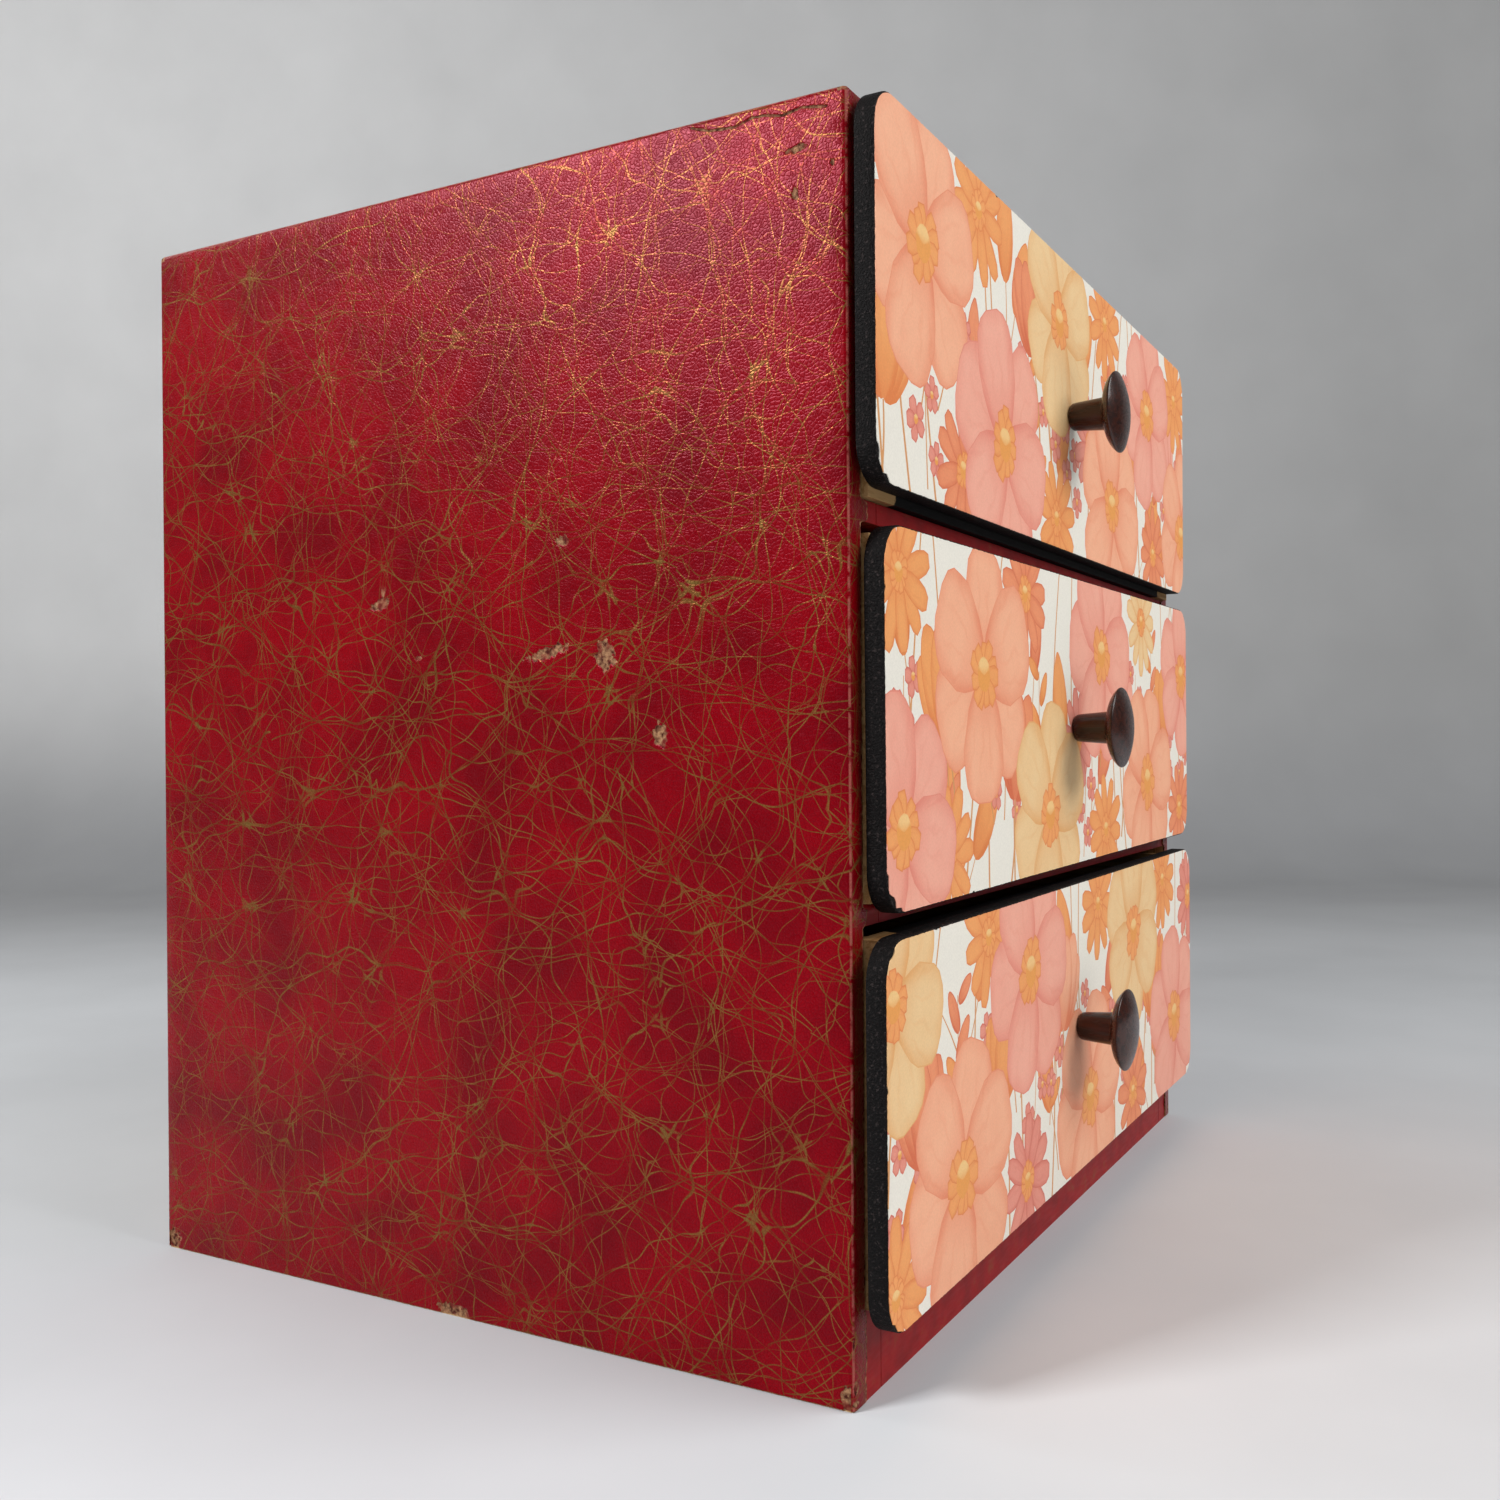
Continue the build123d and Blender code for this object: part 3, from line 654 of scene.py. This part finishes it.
bpy.ops.object.select_all(action="DESELECT")
bpy.ops.mesh.primitive_plane_add(size=1, location=(0, 0, 0))
board = bpy.context.object
board.scale = (front_w, front_h, 1)
bpy.ops.object.transform_apply(location=True, rotation=True, scale=True)
enter(board, "VERT")
bpy.ops.mesh.bevel(offset=front_corner, segments=10, affect="VERTICES")
select_every("FACE")
bpy.ops.mesh.extrude_region_move(TRANSFORM_OT_translate={"value": (0, 0, front_t)})
select_every("EDGE")
bpy.ops.mesh.normals_make_consistent(inside=False)
shape = bmesh.from_edit_mesh(board.data)
for edge in shape.edges:
    edge.select_set(abs(edge.verts[0].co.z - edge.verts[1].co.z) < 1e-6)
bmesh.update_edit_mesh(board.data)
bpy.ops.mesh.bevel(offset=0.0004, segments=2, affect="EDGES")
bpy.ops.object.mode_set(mode="OBJECT")
board.data.materials.append(black_edge)
for drawer in drawers:
    front = copy_to_drawer(board, f"{drawer}_front_board", into_place(drawer, front_back_y[drawer]))
    bpy.ops.object.shade_smooth_by_angle(angle=math.radians(40))
    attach(front, f"{drawer}_drawer")
    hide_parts(f"{drawer}_drawer_front_board")
bpy.data.objects.remove(board)


# ---------------------------------------------------------------- front papers
# Thin printed paper glued over each front and trimmed flush by hand: a plain generic pattern of open
# six-petalled blossoms, daisies, tulips and leafy sprigs in coral, pink, orange and straw on cream.
petal_inks = {"coral": ("#ffba94", "#f08c66"), "pink": ("#fcb39b", "#ec8874"),
              "orange": ("#faa963", "#ea8444"), "straw": ("#f8d29b", "#ecab66"),
              "berry": ("#f09a86", "#d96a58"), "leaf": ("#f9a660", "#e4803e"),
              "rust": ("#f5986a", "#df6f46"), "stem": ("#dd9c62", "#c98a4c"),
              "ground": ("#f6f1e4", "#f6f1e4"), "pollen": ("#fcd08c", "#f3a350")}
printed_inks = {colour: [ink(shade) for shade in pair] for colour, pair in petal_inks.items()}
shapes = []


def lobe(x, y, turn, long, ratio, colour, base=0.60, tip=0.36, frill=0.0, points=9):
    """A petal or leaf from its root at x, y, growing towards turn degrees from straight up."""
    s, c = math.sin(math.radians(turn)), math.cos(math.radians(turn))
    peak = (base / (base + tip)) ** base * (tip / (base + tip)) ** tip
    phase = random.uniform(0, 6)
    for grown, kind in ((0.3, "rim"), (0.0, "fill")):
        outline = []
        for side in (1, -1):
            for i in range(points):
                t = (1 - math.cos(math.pi * (i + 0.5) / points)) / 2
                t = t if side > 0 else 1 - t
                wide = ratio * long * t ** base * (1 - t) ** tip / peak
                wide *= 1 + frill * math.sin(t * 17 + phase * side)
                u, v = t * (long + grown), side * (wide + grown)
                outline.append((x + u * s + v * c, y + u * c - v * s))
        shapes.append((outline, kind, colour, (x, y), (s, c), long, ratio))


def round_spot(x, y, radius, colour, points=12):
    """A flower's eye, a berry or a seed head."""
    outline = [(x + radius * math.sin(a) * random.uniform(0.93, 1.07),
                y + radius * math.cos(a) * random.uniform(0.93, 1.07))
               for a in [2 * math.pi * i / points for i in range(points)]]
    shapes.append((outline, "spot", colour, (x, y), (0, 1), radius, 1.0))


def blossom(x, y, size, petals, ratio, colour, turn):
    """An open flower seen from the front, its petals lapping over each other."""
    step = 360 / petals
    for i in list(range(0, petals, 2)) + list(range(1, petals, 2)):
        lobe(x, y, turn + i * step + random.uniform(-5, 5), size * random.uniform(0.93, 1.05),
             ratio * random.uniform(0.94, 1.06), colour, 0.62, 0.36, 0.03,
             10 if size > 25 else 6 if size > 12 else 4)
    if size > 12:
        for i in range(11):
            lobe(x, y, i * 360 / 11 + random.uniform(-9, 9), size * random.uniform(0.24, 0.31),
                 0.26, "orange", 0.7, 0.3, 0.0, 4)
        round_spot(x, y, size * 0.13, "pollen", 14)
    else:
        round_spot(x, y, size * 0.24, "pollen", 7)


def stalk(x0, y0, x1, y1, bow, wide=0.55):
    """A thin bowed stem between two places."""
    left, right_side = [], []
    for i in range(8):
        t = i / 7
        x = x0 + (x1 - x0) * t + bow * 4 * t * (1 - t)
        y = y0 + (y1 - y0) * t
        left.append((x - wide * (1.2 - 0.5 * t), y))
        right_side.append((x + wide * (1.2 - 0.5 * t), y))
    shapes.append((left + right_side[::-1], "stem", "stem", (x0, y0), (0, 1), 50, 1.0))


def tulip(x, y, size, turn, colour):
    """A cup-shaped flower seen from the side on a short stem."""
    s, c = math.sin(math.radians(turn)), math.cos(math.radians(turn))
    stalk(x - 26 * s, y - 26 * c, x, y, 1.5)
    for swing, long in ((-30, 0.86), (30, 0.86), (-15, 1.0), (15, 1.0), (0, 0.94)):
        lobe(x, y, turn + swing, size * long, 0.24, colour, 0.55, 0.6, 0.02)


def sprig(x, y, high, lean, colour):
    """A stem with small blossoms and drop-shaped leaves up its two sides."""
    stalk(x, y, x + lean, y + high, lean * 0.3, 0.3)
    count = int(high / 7)
    for i in range(1, count + 1):
        t = i / count
        side = 1 if i % 2 else -1
        at_x = x + lean * t + lean * 1.2 * t * (1 - t) + side * random.uniform(3.5, 6.5)
        at_y = y + high * t
        if colour == "leaf":
            lobe(at_x - side * 5, at_y - 2, side * random.uniform(30, 60),
                 random.uniform(10, 15), 0.2, random.choice(("leaf", "rust")), 0.6, 0.7)
        else:
            blossom(at_x, at_y, random.uniform(4.2, 5.6), 5, 0.36, colour, random.uniform(0, 72))


def straight_leaf(x, y, long, turn, colour):
    """A single pointed leaf on its own stem."""
    s, c = math.sin(math.radians(turn)), math.cos(math.radians(turn))
    stalk(x - 20 * s, y - 20 * c, x + 3 * s, y + 3 * c, 1.0, 0.35)
    lobe(x, y, turn, long, 0.21, colour, 0.6, 0.75, 0.0, 10)


# Each front was cut from another stretch of the roll: large blossoms first, then what fills between.
big = {"top": ((-122, 16, 35, "coral"), (-64, -22, 36, "pink"), (-14, 24, 33, "straw"),
               (44, -24, 35, "coral"), (92, 16, 34, "pink"), (146, -22, 33, "coral")),
       "middle": ((-140, -26, 33, "pink"), (-86, 12, 36, "coral"), (-30, -28, 34, "straw"),
                  (26, 22, 35, "pink"), (86, -22, 36, "coral"), (140, 18, 33, "pink")),
       "bottom": ((-104, -20, 36, "coral"), (-146, 30, 30, "straw"), (-50, 24, 35, "pink"),
                  (8, -24, 35, "coral"), (62, 22, 34, "straw"), (122, -18, 36, "pink"))}
daisies = {"top": ((-84, 36, 19, "orange"), (-96, -34, 18, "rust"), (18, -8, 17, "berry"),
                   (36, 36, 19, "orange"), (-18, -36, 18, "orange"), (134, 30, 20, "orange"),
                   (100, -34, 18, "rust")),
           "middle": ((-112, -34, 18, "orange"), (-52, 36, 19, "rust"), (-142, 34, 19, "orange"),
                      (-2, -6, 16, "berry"), (30, -36, 19, "orange"), (78, 36, 19, "straw"),
                      (136, -34, 19, "rust")),
           "bottom": ((-84, 38, 18, "orange"), (-146, -36, 19, "orange"), (-54, -34, 19, "berry"),
                      (18, 36, 18, "orange"), (60, -34, 19, "rust"), (104, 36, 19, "orange"),
                      (146, 26, 18, "berry"))}
tulips = {"top": ((-146, -26, 32, 8, "orange"), (-40, 8, 28, -14, "rust"),
                  (70, -10, 30, 10, "orange"), (122, -6, 28, -10, "pink")),
          "middle": ((-112, -6, 32, -12, "orange"), (-62, -22, 32, 10, "rust"),
                     (52, -14, 30, 6, "pink"), (112, -8, 30, -8, "orange")),
          "bottom": ((-128, -10, 30, -10, "rust"), (-76, -8, 30, 12, "orange"),
                     (-20, 2, 30, 8, "coral"), (88, -12, 30, -6, "orange"))}
chips = {"top": ((-149.4, -38.0, 1.3), (-70.0, 44.6, 0.7), (-144.5, -44.0, 1.0)),
         "middle": ((-147.6, -42.6, 1.9), (-149.6, -36.5, 1.1), (-143.0, -44.8, 1.3),
                    (-149.5, 30.0, 0.6), (-95.0, -44.7, 0.6)),
         "bottom": ((-146.6, 43.0, 1.2), (-149.6, 12.0, 0.7), (-120.0, 44.7, 0.6),
                    (-147.2, -42.4, 0.9))}
paper_w, paper_h, paper_t, paper_corner = 299.4, 89.2, 0.0002, 9.7

floral, tree, shader, place = new_finish("printed_wallpaper")
root, axis, form, pale, deep = [
    add(tree, "Attribute", attribute_name="petal_" + name).outputs[kind] for name, kind in
    (("root", "Vector"), ("axis", "Vector"), ("form", "Vector"), ("pale", "Color"), ("deep", "Color"))]
form = add(tree, "SeparateXYZ", (form,))
away = add(tree, "VectorMath:SUBTRACT", (place, root))
along = add(tree, "VectorMath:DOT_PRODUCT", (away, axis)).outputs["Value"]
sideways = add(tree, "VectorMath:CROSS_PRODUCT", (axis, (0, 1, 0)))
across = add(tree, "VectorMath:DOT_PRODUCT", (away, sideways)).outputs["Value"]
spread_out = add(tree, "Math:ADD", (along, 0.12))
fan = add(tree, "Math:DIVIDE", (across, spread_out))
wander = add(tree, "TexNoise", {"Vector": place, "Scale": 150.0, "Detail": 1.0})
fan = add(tree, "Math:MULTIPLY_ADD", (wander, 0.35, fan))
veins = follow(tree, fan, ("Math:MULTIPLY", 21.0), ("Math:SINE",), ("MapRange", 0.55, 1.0))
fade = add(tree, "MapRange", (along, 0.12, 0.85, 0.34, 0.06))
veins = add(tree, "Math:MULTIPLY", (veins, fade))
heart = add(tree, "MapRange", (along, 0.06, 0.5, 0.6, 0.0))
blush = add(tree, "TexNoise", {"Vector": place, "Scale": 70.0, "Detail": 2.0})
wash = add(tree, "MapRange", (blush, 0.4, 0.7, 0.0, 0.16))
tint = follow(tree, veins, ("Math:MAXIMUM", heart), ("Math:ADD", wash))
# How near a place is to its petal's outline, so that each petal darkens towards its edge.
root_side = add(tree, "Math:POWER", (along, 0.6))
tip_side = add(tree, "Math:POWER", (add(tree, "Math:SUBTRACT", (1.0, along)), 0.36))
hull = follow(tree, root_side, ("Math:MULTIPLY", tip_side), ("Math:MULTIPLY", form.outputs["X"]),
              ("Math:MULTIPLY_ADD", 1.93, 0.004))
edge = follow(tree, across, ("Math:ABSOLUTE",), ("Math:DIVIDE", hull))
edge = add(tree, "MapRange", (edge, 0.5, 1.05, 0.0, 0.55), interpolation_type="SMOOTHSTEP")
tip = add(tree, "MapRange", (along, 0.86, 1.02, 0.0, 0.4))
edge = add(tree, "Math:MAXIMUM", (edge, tip))
tint = follow(tree, tint, ("Math:ADD", edge), ("Math:MAXIMUM", form.outputs["Y"]), ("Math:MULTIPLY",
                                                                                    form.outputs["Z"]),
              ("Math:MINIMUM", 1.0))
printed = blend_inks(tree, tint, pale, deep)
dots = add(tree, "TexNoise", {"Vector": place, "Scale": 1000 / 0.45, "Detail": 1.0})
dots = add(tree, "MapRange", (dots, 0.3, 0.7, 0.93, 1.0))
printed = blend_inks(tree, 1.0, printed, dots, "MULTIPLY")
weave = add(tree, "TexNoise", {"Vector": place, "Scale": 1000 / 0.6, "Detail": 2.0})
dull = add(tree, "MapRange", (weave, 0.0, 1.0, 0.5, 0.68))
relief = add(tree, "Bump", {"Strength": 0.4, "Distance": 0.00004, "Height": weave})
feed(tree, shader, {"Base Color": printed, "Roughness": dull, "Normal": relief})


def trimmed_edge(drawer):
    """The paper's outline, hand-trimmed and chipped, in mm from the front's middle."""
    outline = []
    half_w, half_h = paper_w / 2 - paper_corner, paper_h / 2 - paper_corner
    for start, (cx, cy) in enumerate(((half_w, half_h), (half_w, -half_h),
                                      (-half_w, -half_h), (-half_w, half_h))):
        for i in range(13):
            a = math.radians(start * 90 + i * 7.5)
            outline.append((cx + paper_corner * math.sin(a), cy + paper_corner * math.cos(a)))
        nx, ny = ((half_w, -half_h), (-half_w, -half_h), (-half_w, half_h), (half_w, half_h))[start]
        x1, y1 = outline[-1]
        a = math.radians(start * 90 + 90)
        x2, y2 = nx + paper_corner * math.sin(a), ny + paper_corner * math.cos(a)
        steps = int(math.hypot(x2 - x1, y2 - y1) / 0.7)
        outline += [(x1 + (x2 - x1) * i / steps, y1 + (y2 - y1) * i / steps) for i in range(1, steps)]
    trimmed = []
    for x, y in outline:
        inward = 0.10 + 0.16 * noise.noise(Vector((x * 0.9, y * 0.9, len(drawer))))
        for chip_x, chip_y, deep_in in chips[drawer]:
            far = math.hypot(x - chip_x, y - chip_y) / (deep_in * 1.6)
            if far < 1:
                inward += deep_in * (1 - far) * (0.8 + 0.5 * noise.noise(Vector((x, y, 7)) * 2.3))
        pull_x = -math.copysign(inward, x) if abs(x) > half_w else 0.0
        pull_y = -math.copysign(inward, y) if abs(y) > half_h else 0.0
        trimmed.append((x + pull_x, y + pull_y))
    return trimmed


for drawer in drawers:
    random.seed(drawer)
    shapes.clear()
    shapes.append((trimmed_edge(drawer), "ground", "ground", (0, 0), (0, 1), 100, 1.0))
    for i in range(13):
        x = -150 + 24 * i + random.uniform(-8, 8)
        stalk(x, -60, x + random.uniform(-22, 22), 60, random.uniform(-9, 9), 0.5)
    for i in range(16):
        straight_leaf(-146 + 19 * i + random.uniform(-8, 8), random.uniform(-40, 26),
                      random.uniform(20, 32), random.uniform(-45, 45),
                      random.choice(("leaf", "orange", "rust")))
    for i in range(14):
        sprig(-148 + 22 * i + random.uniform(-7, 7), random.uniform(-50, -8),
              random.uniform(30, 56), random.uniform(-12, 12), "leaf" if i % 3 == 2 else "berry")
    for x, y, size, turn, colour in tulips[drawer]:
        tulip(x, y, size, turn, colour)
    for x, y, size, colour in daisies[drawer]:
        blossom(x, y, size, 11, 0.17, colour, random.uniform(0, 30))
    for x, y, size, colour in big[drawer]:
        blossom(x, y, size, 6, 0.41, colour, random.uniform(0, 60))

    corners, faces = [], []
    for outline, *rest in shapes:
        area = sum(x0 * y1 - x1 * y0 for (x0, y0), (x1, y1) in zip(outline, outline[1:] + outline[:1]))
        ring = list(range(len(corners), len(corners) + len(outline)))
        faces.append(ring if area > 0 else ring[::-1])
        corners += [Vector((x / 1000, y / 1000)) for x, y in outline]
    spots, edges, tiles, ids_v, ids_e, ids_f = geometry.delaunay_2d_cdt(corners, [], faces, 1, 1e-7, True)
    kept = [(tile, max(ids)) for tile, ids in zip(tiles, ids_f) if 0 in ids]
    paper_mesh = bpy.data.meshes.new(f"{drawer}_paper")
    paper_mesh.from_pydata([(x, y, 0) for x, y in spots], [], [tile for tile, shape in kept])
    stand = into_place(drawer, front_back_y[drawer] - front_t)
    lean = stand.to_3x3()
    values = {name: [] for name in ("petal_root", "petal_axis", "petal_form", "petal_pale", "petal_deep")}
    for tile, index in kept:
        outline, kind, colour, (x, y), (s, c), long, ratio = shapes[index]
        base_ink, deep_ink = printed_inks[colour]
        values["petal_root"].extend(stand @ Vector((x / 1000, y / 1000, 0)))
        values["petal_axis"].extend(lean @ Vector((s, c, 0)) * (1000 / long))
        plain = kind in ("ground", "stem")
        values["petal_form"].extend((max(ratio, 0.05), 0.85 if kind == "rim" else 0.0,
                                     0.0 if plain else 1.0))
        values["petal_pale"].extend(base_ink)
        values["petal_deep"].extend(deep_ink)
    for name, numbers in values.items():
        colour_like = name in ("petal_pale", "petal_deep")
        made = paper_mesh.attributes.new(name, "FLOAT_COLOR" if colour_like else "FLOAT_VECTOR", "FACE")
        made.data.foreach_set("color" if colour_like else "vector", numbers)
    paper = bpy.data.objects.new(f"{drawer}_floral_paper", paper_mesh)
    bpy.context.scene.collection.objects.link(paper)
    enter(paper, "VERT")
    bpy.ops.mesh.delete_loose()
    select_every("FACE")
    bpy.ops.mesh.extrude_region_move(TRANSFORM_OT_translate={"value": (0, 0, paper_t)})
    bpy.ops.mesh.select_all(action="SELECT")
    bpy.ops.mesh.normals_make_consistent(inside=False)
    bpy.ops.object.mode_set(mode="OBJECT")
    paper_mesh.transform(stand)
    paper_mesh.materials.append(floral)
    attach(paper, f"{drawer}_drawer")
    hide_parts(f"{drawer}_drawer_front_paper")


# ---------------------------------------------------------------- knobs
# Turned beech knobs stained and lacquered dark brown: a slightly flared stem under a cap that is
# domed on both sides, screwed on from inside the drawer. The lacquer is near black, with soft
# highlights and a brown streak of grain where the light falls.
lacquer, tree, shader, place = new_finish("brown_lacquered_beech")
flow = add(tree, "Mapping", {"Vector": place, "Scale": (1.0, 0.12, 1.0)})
figure = add(tree, "TexNoise", {"Vector": flow, "Scale": 620.0, "Detail": 3.0})
streak = add(tree, "MapRange", (figure, 0.38, 0.66))
dull = add(tree, "MapRange", (figure, 0.0, 1.0, 0.2, 0.34))
feed(tree, shader, {"Base Color": blend_inks(tree, streak, ink("#3d1a10"), ink("#220c07")),
                    "Roughness": dull, "Specular IOR Level": 0.3, "Coat Weight": 0.2,
                    "Coat Roughness": 0.12})

knob_x = {"bottom": -0.0044, "middle": -0.0005, "top": -0.0026}
knob_z = {"bottom": 0.0634, "middle": 0.1558, "top": 0.2525}
stem = [(0.0, 0.0), (4.2, 0.0), (4.35, 2.0), (4.6, 5.0), (4.85, 8.4), (5.0, 10.2), (5.12, 10.75),
        (5.45, 11.2), (5.9, 11.42), (7.2, 11.56), (8.8, 11.95), (10.2, 12.6), (11.2, 13.3),
        (11.9, 14.0), (12.25, 14.3), (12.4, 14.6), (12.32, 14.88), (12.0, 15.08), (11.0, 15.5),
        (9.4, 16.1), (7.4, 16.7), (5.0, 17.18), (2.4, 17.44), (0.0, 17.5)]
bpy.ops.object.select_all(action="DESELECT")
bpy.ops.mesh.primitive_plane_add(size=0.001, location=(0, 0, 0))
turning = bpy.context.object
enter(turning, "VERT")
bpy.ops.mesh.merge(type="CENTER")
for (r0, u0), (r1, u1) in zip(stem, stem[1:]):
    bpy.ops.mesh.extrude_region_move(
        TRANSFORM_OT_translate={"value": ((r1 - r0) / 1000, -(u1 - u0) / 1000, 0)})
bpy.ops.mesh.select_all(action="SELECT")
bpy.ops.mesh.spin(steps=64, angle=2 * math.pi, center=(0, 0, 0), axis=(0, 1, 0))
bpy.ops.mesh.select_all(action="SELECT")
bpy.ops.mesh.remove_doubles(threshold=0.00001)
bpy.ops.mesh.normals_make_consistent(inside=False)
bpy.ops.object.mode_set(mode="OBJECT")
turning.data.materials.append(lacquer)
for drawer in drawers:
    face_y = front_back_y[drawer] - front_t - paper_t
    knob = copy_to_drawer(turning, f"{drawer}_turned_knob",
                          Matrix.Translation((knob_x[drawer], face_y, knob_z[drawer])))
    round_off = knob.modifiers.new("turning", "SUBSURF")
    round_off.levels = round_off.render_levels = 1
    bpy.ops.object.modifier_apply(modifier=round_off.name)
    bpy.ops.object.shade_smooth_by_angle(angle=math.radians(50))
    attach(knob, f"{drawer}_drawer")
    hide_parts(f"{drawer}_drawer_knob")
bpy.data.objects.remove(turning)


# ---------------------------------------------------------------- floor, light and camera
# Plain pale floor that curves up into a plain wall, under soft light from the left and the front. The
# floor is painted darker into the distance and the wall darker towards the right: painted shade of the
# light's falloff.
floor_with_painted_falloff, tree, shader, place = new_finish("floor_with_painted_falloff")
yaw = math.radians(60.680)
ahead = Vector((math.sin(yaw), math.cos(yaw), 0))
leftward = Vector((-math.cos(yaw), math.sin(yaw), 0))
tone = add(tree, "TexNoise", {"Vector": place, "Scale": 9.0, "Detail": 4.0})
far = add(tree, "VectorMath:DOT_PRODUCT", (place, ahead)).outputs["Value"]
far = add(tree, "MapRange", (far, 0.0, 0.95), interpolation_type="SMOOTHSTEP")
aside = add(tree, "VectorMath:DOT_PRODUCT", (place, leftward)).outputs["Value"]
aside = add(tree, "MapRange", (aside, -0.8, 0.5))
up = add(tree, "SeparateXYZ", (place,)).outputs["Z"]
up = add(tree, "MapRange", (up, 0.02, 0.30), interpolation_type="SMOOTHSTEP")
# Painted shade: the floor darkens with distance and the wall darkens towards the right.
floor_painted_falloff = blend_inks(tree, far, ink("#d3d6d9"), ink("#959698"))
wall_painted_falloff = blend_inks(tree, aside, ink("#a2a2a2"), ink("#d6d6d6"))
plain = blend_inks(tree, up, floor_painted_falloff, wall_painted_falloff)
shade = add(tree, "MapRange", (tone, 0.3, 0.7, 0.93, 1.0))
feed(tree, shader, {"Base Color": blend_inks(tree, 1.0, plain, shade, "MULTIPLY"), "Roughness": 0.75})

bpy.ops.object.select_all(action="DESELECT")
bpy.ops.mesh.primitive_plane_add(size=2, location=(0, 0, 0))
studio = bpy.context.object
studio.name = "floor_and_wall"
studio.data.transform(Matrix.Rotation(-yaw, 4, "Z") @ Matrix.Translation((0, -6.0, 0))
                      @ Matrix.Diagonal((12.0, 7.0, 1, 1)))
enter(studio, "EDGE")
pick(studio, lambda p, n: p.dot(ahead) > 0.9)
steps = 8
for i in range(steps):
    a0, a1 = [math.radians(90) * k / steps for k in (i, i + 1)]
    out, up = 0.25 * (math.sin(a1) - math.sin(a0)), 0.25 * (math.cos(a0) - math.cos(a1))
    bpy.ops.mesh.extrude_region_move(TRANSFORM_OT_translate={"value": ahead * out + Vector((0, 0, up))})
bpy.ops.mesh.extrude_region_move(TRANSFORM_OT_translate={"value": (0, 0, 2.5)})
bpy.ops.object.mode_set(mode="OBJECT")
studio.data.materials.append(floor_with_painted_falloff)
bpy.ops.object.shade_smooth_by_angle(angle=math.radians(60))


def lamp(name, place, aim, size, power):
    """Soft rectangular lamp aimed at a point."""
    light = bpy.data.lights.new(name, "AREA")
    light.shape, light.size, light.energy = "SQUARE", size, power
    lamp_object = bpy.data.objects.new(name, light)
    bpy.context.scene.collection.objects.link(lamp_object)
    lamp_object.location = place
    lamp_object.rotation_euler = (Vector(aim) - Vector(place)).to_track_quat("-Z", "Y").to_euler()


lamp("left_softbox", (-1.03, 0.50, 0.88), (-0.15, -0.05, 0.28), 0.36, 14.5)
lamp("front_softbox", (0.3, -1.5, 1.4), (0, 0, 0.12), 1.3, 28)
lamp("wall_softbox", (-0.35, 1.45, 1.2), (0.7, 1.3, 0.55), 0.6, 5)
world = bpy.data.worlds.new("studio_air")
bpy.context.scene.world = world
world.use_nodes = True
feed(world.node_tree, world.node_tree.nodes["Background"], {"Color": ink("#ffffff"), "Strength": 0.2})
bpy.context.scene.view_settings.view_transform = "Standard"

pitch, roll = math.radians(-0.268), math.radians(-0.363)
forward = Vector((math.sin(yaw) * math.cos(pitch), math.cos(yaw) * math.cos(pitch), math.sin(pitch)))
right = Vector((math.cos(yaw), -math.sin(yaw), 0))
above = right.cross(forward)
right, above = (math.cos(roll) * right + math.sin(roll) * above,
                math.cos(roll) * above - math.sin(roll) * right)
camera = bpy.data.objects.new("camera", bpy.data.cameras.new("camera"))
bpy.context.scene.collection.objects.link(camera)
camera.data.sensor_width, camera.data.lens = 36.0, 34.64
camera.data.clip_start = 0.01
camera.matrix_world = Matrix.Translation((-0.44447, -0.25436, 0.15167)) @ Matrix((
    (right.x, above.x, -forward.x, 0), (right.y, above.y, -forward.y, 0),
    (right.z, above.z, -forward.z, 0), (0, 0, 0, 1)))
bpy.context.scene.camera = camera
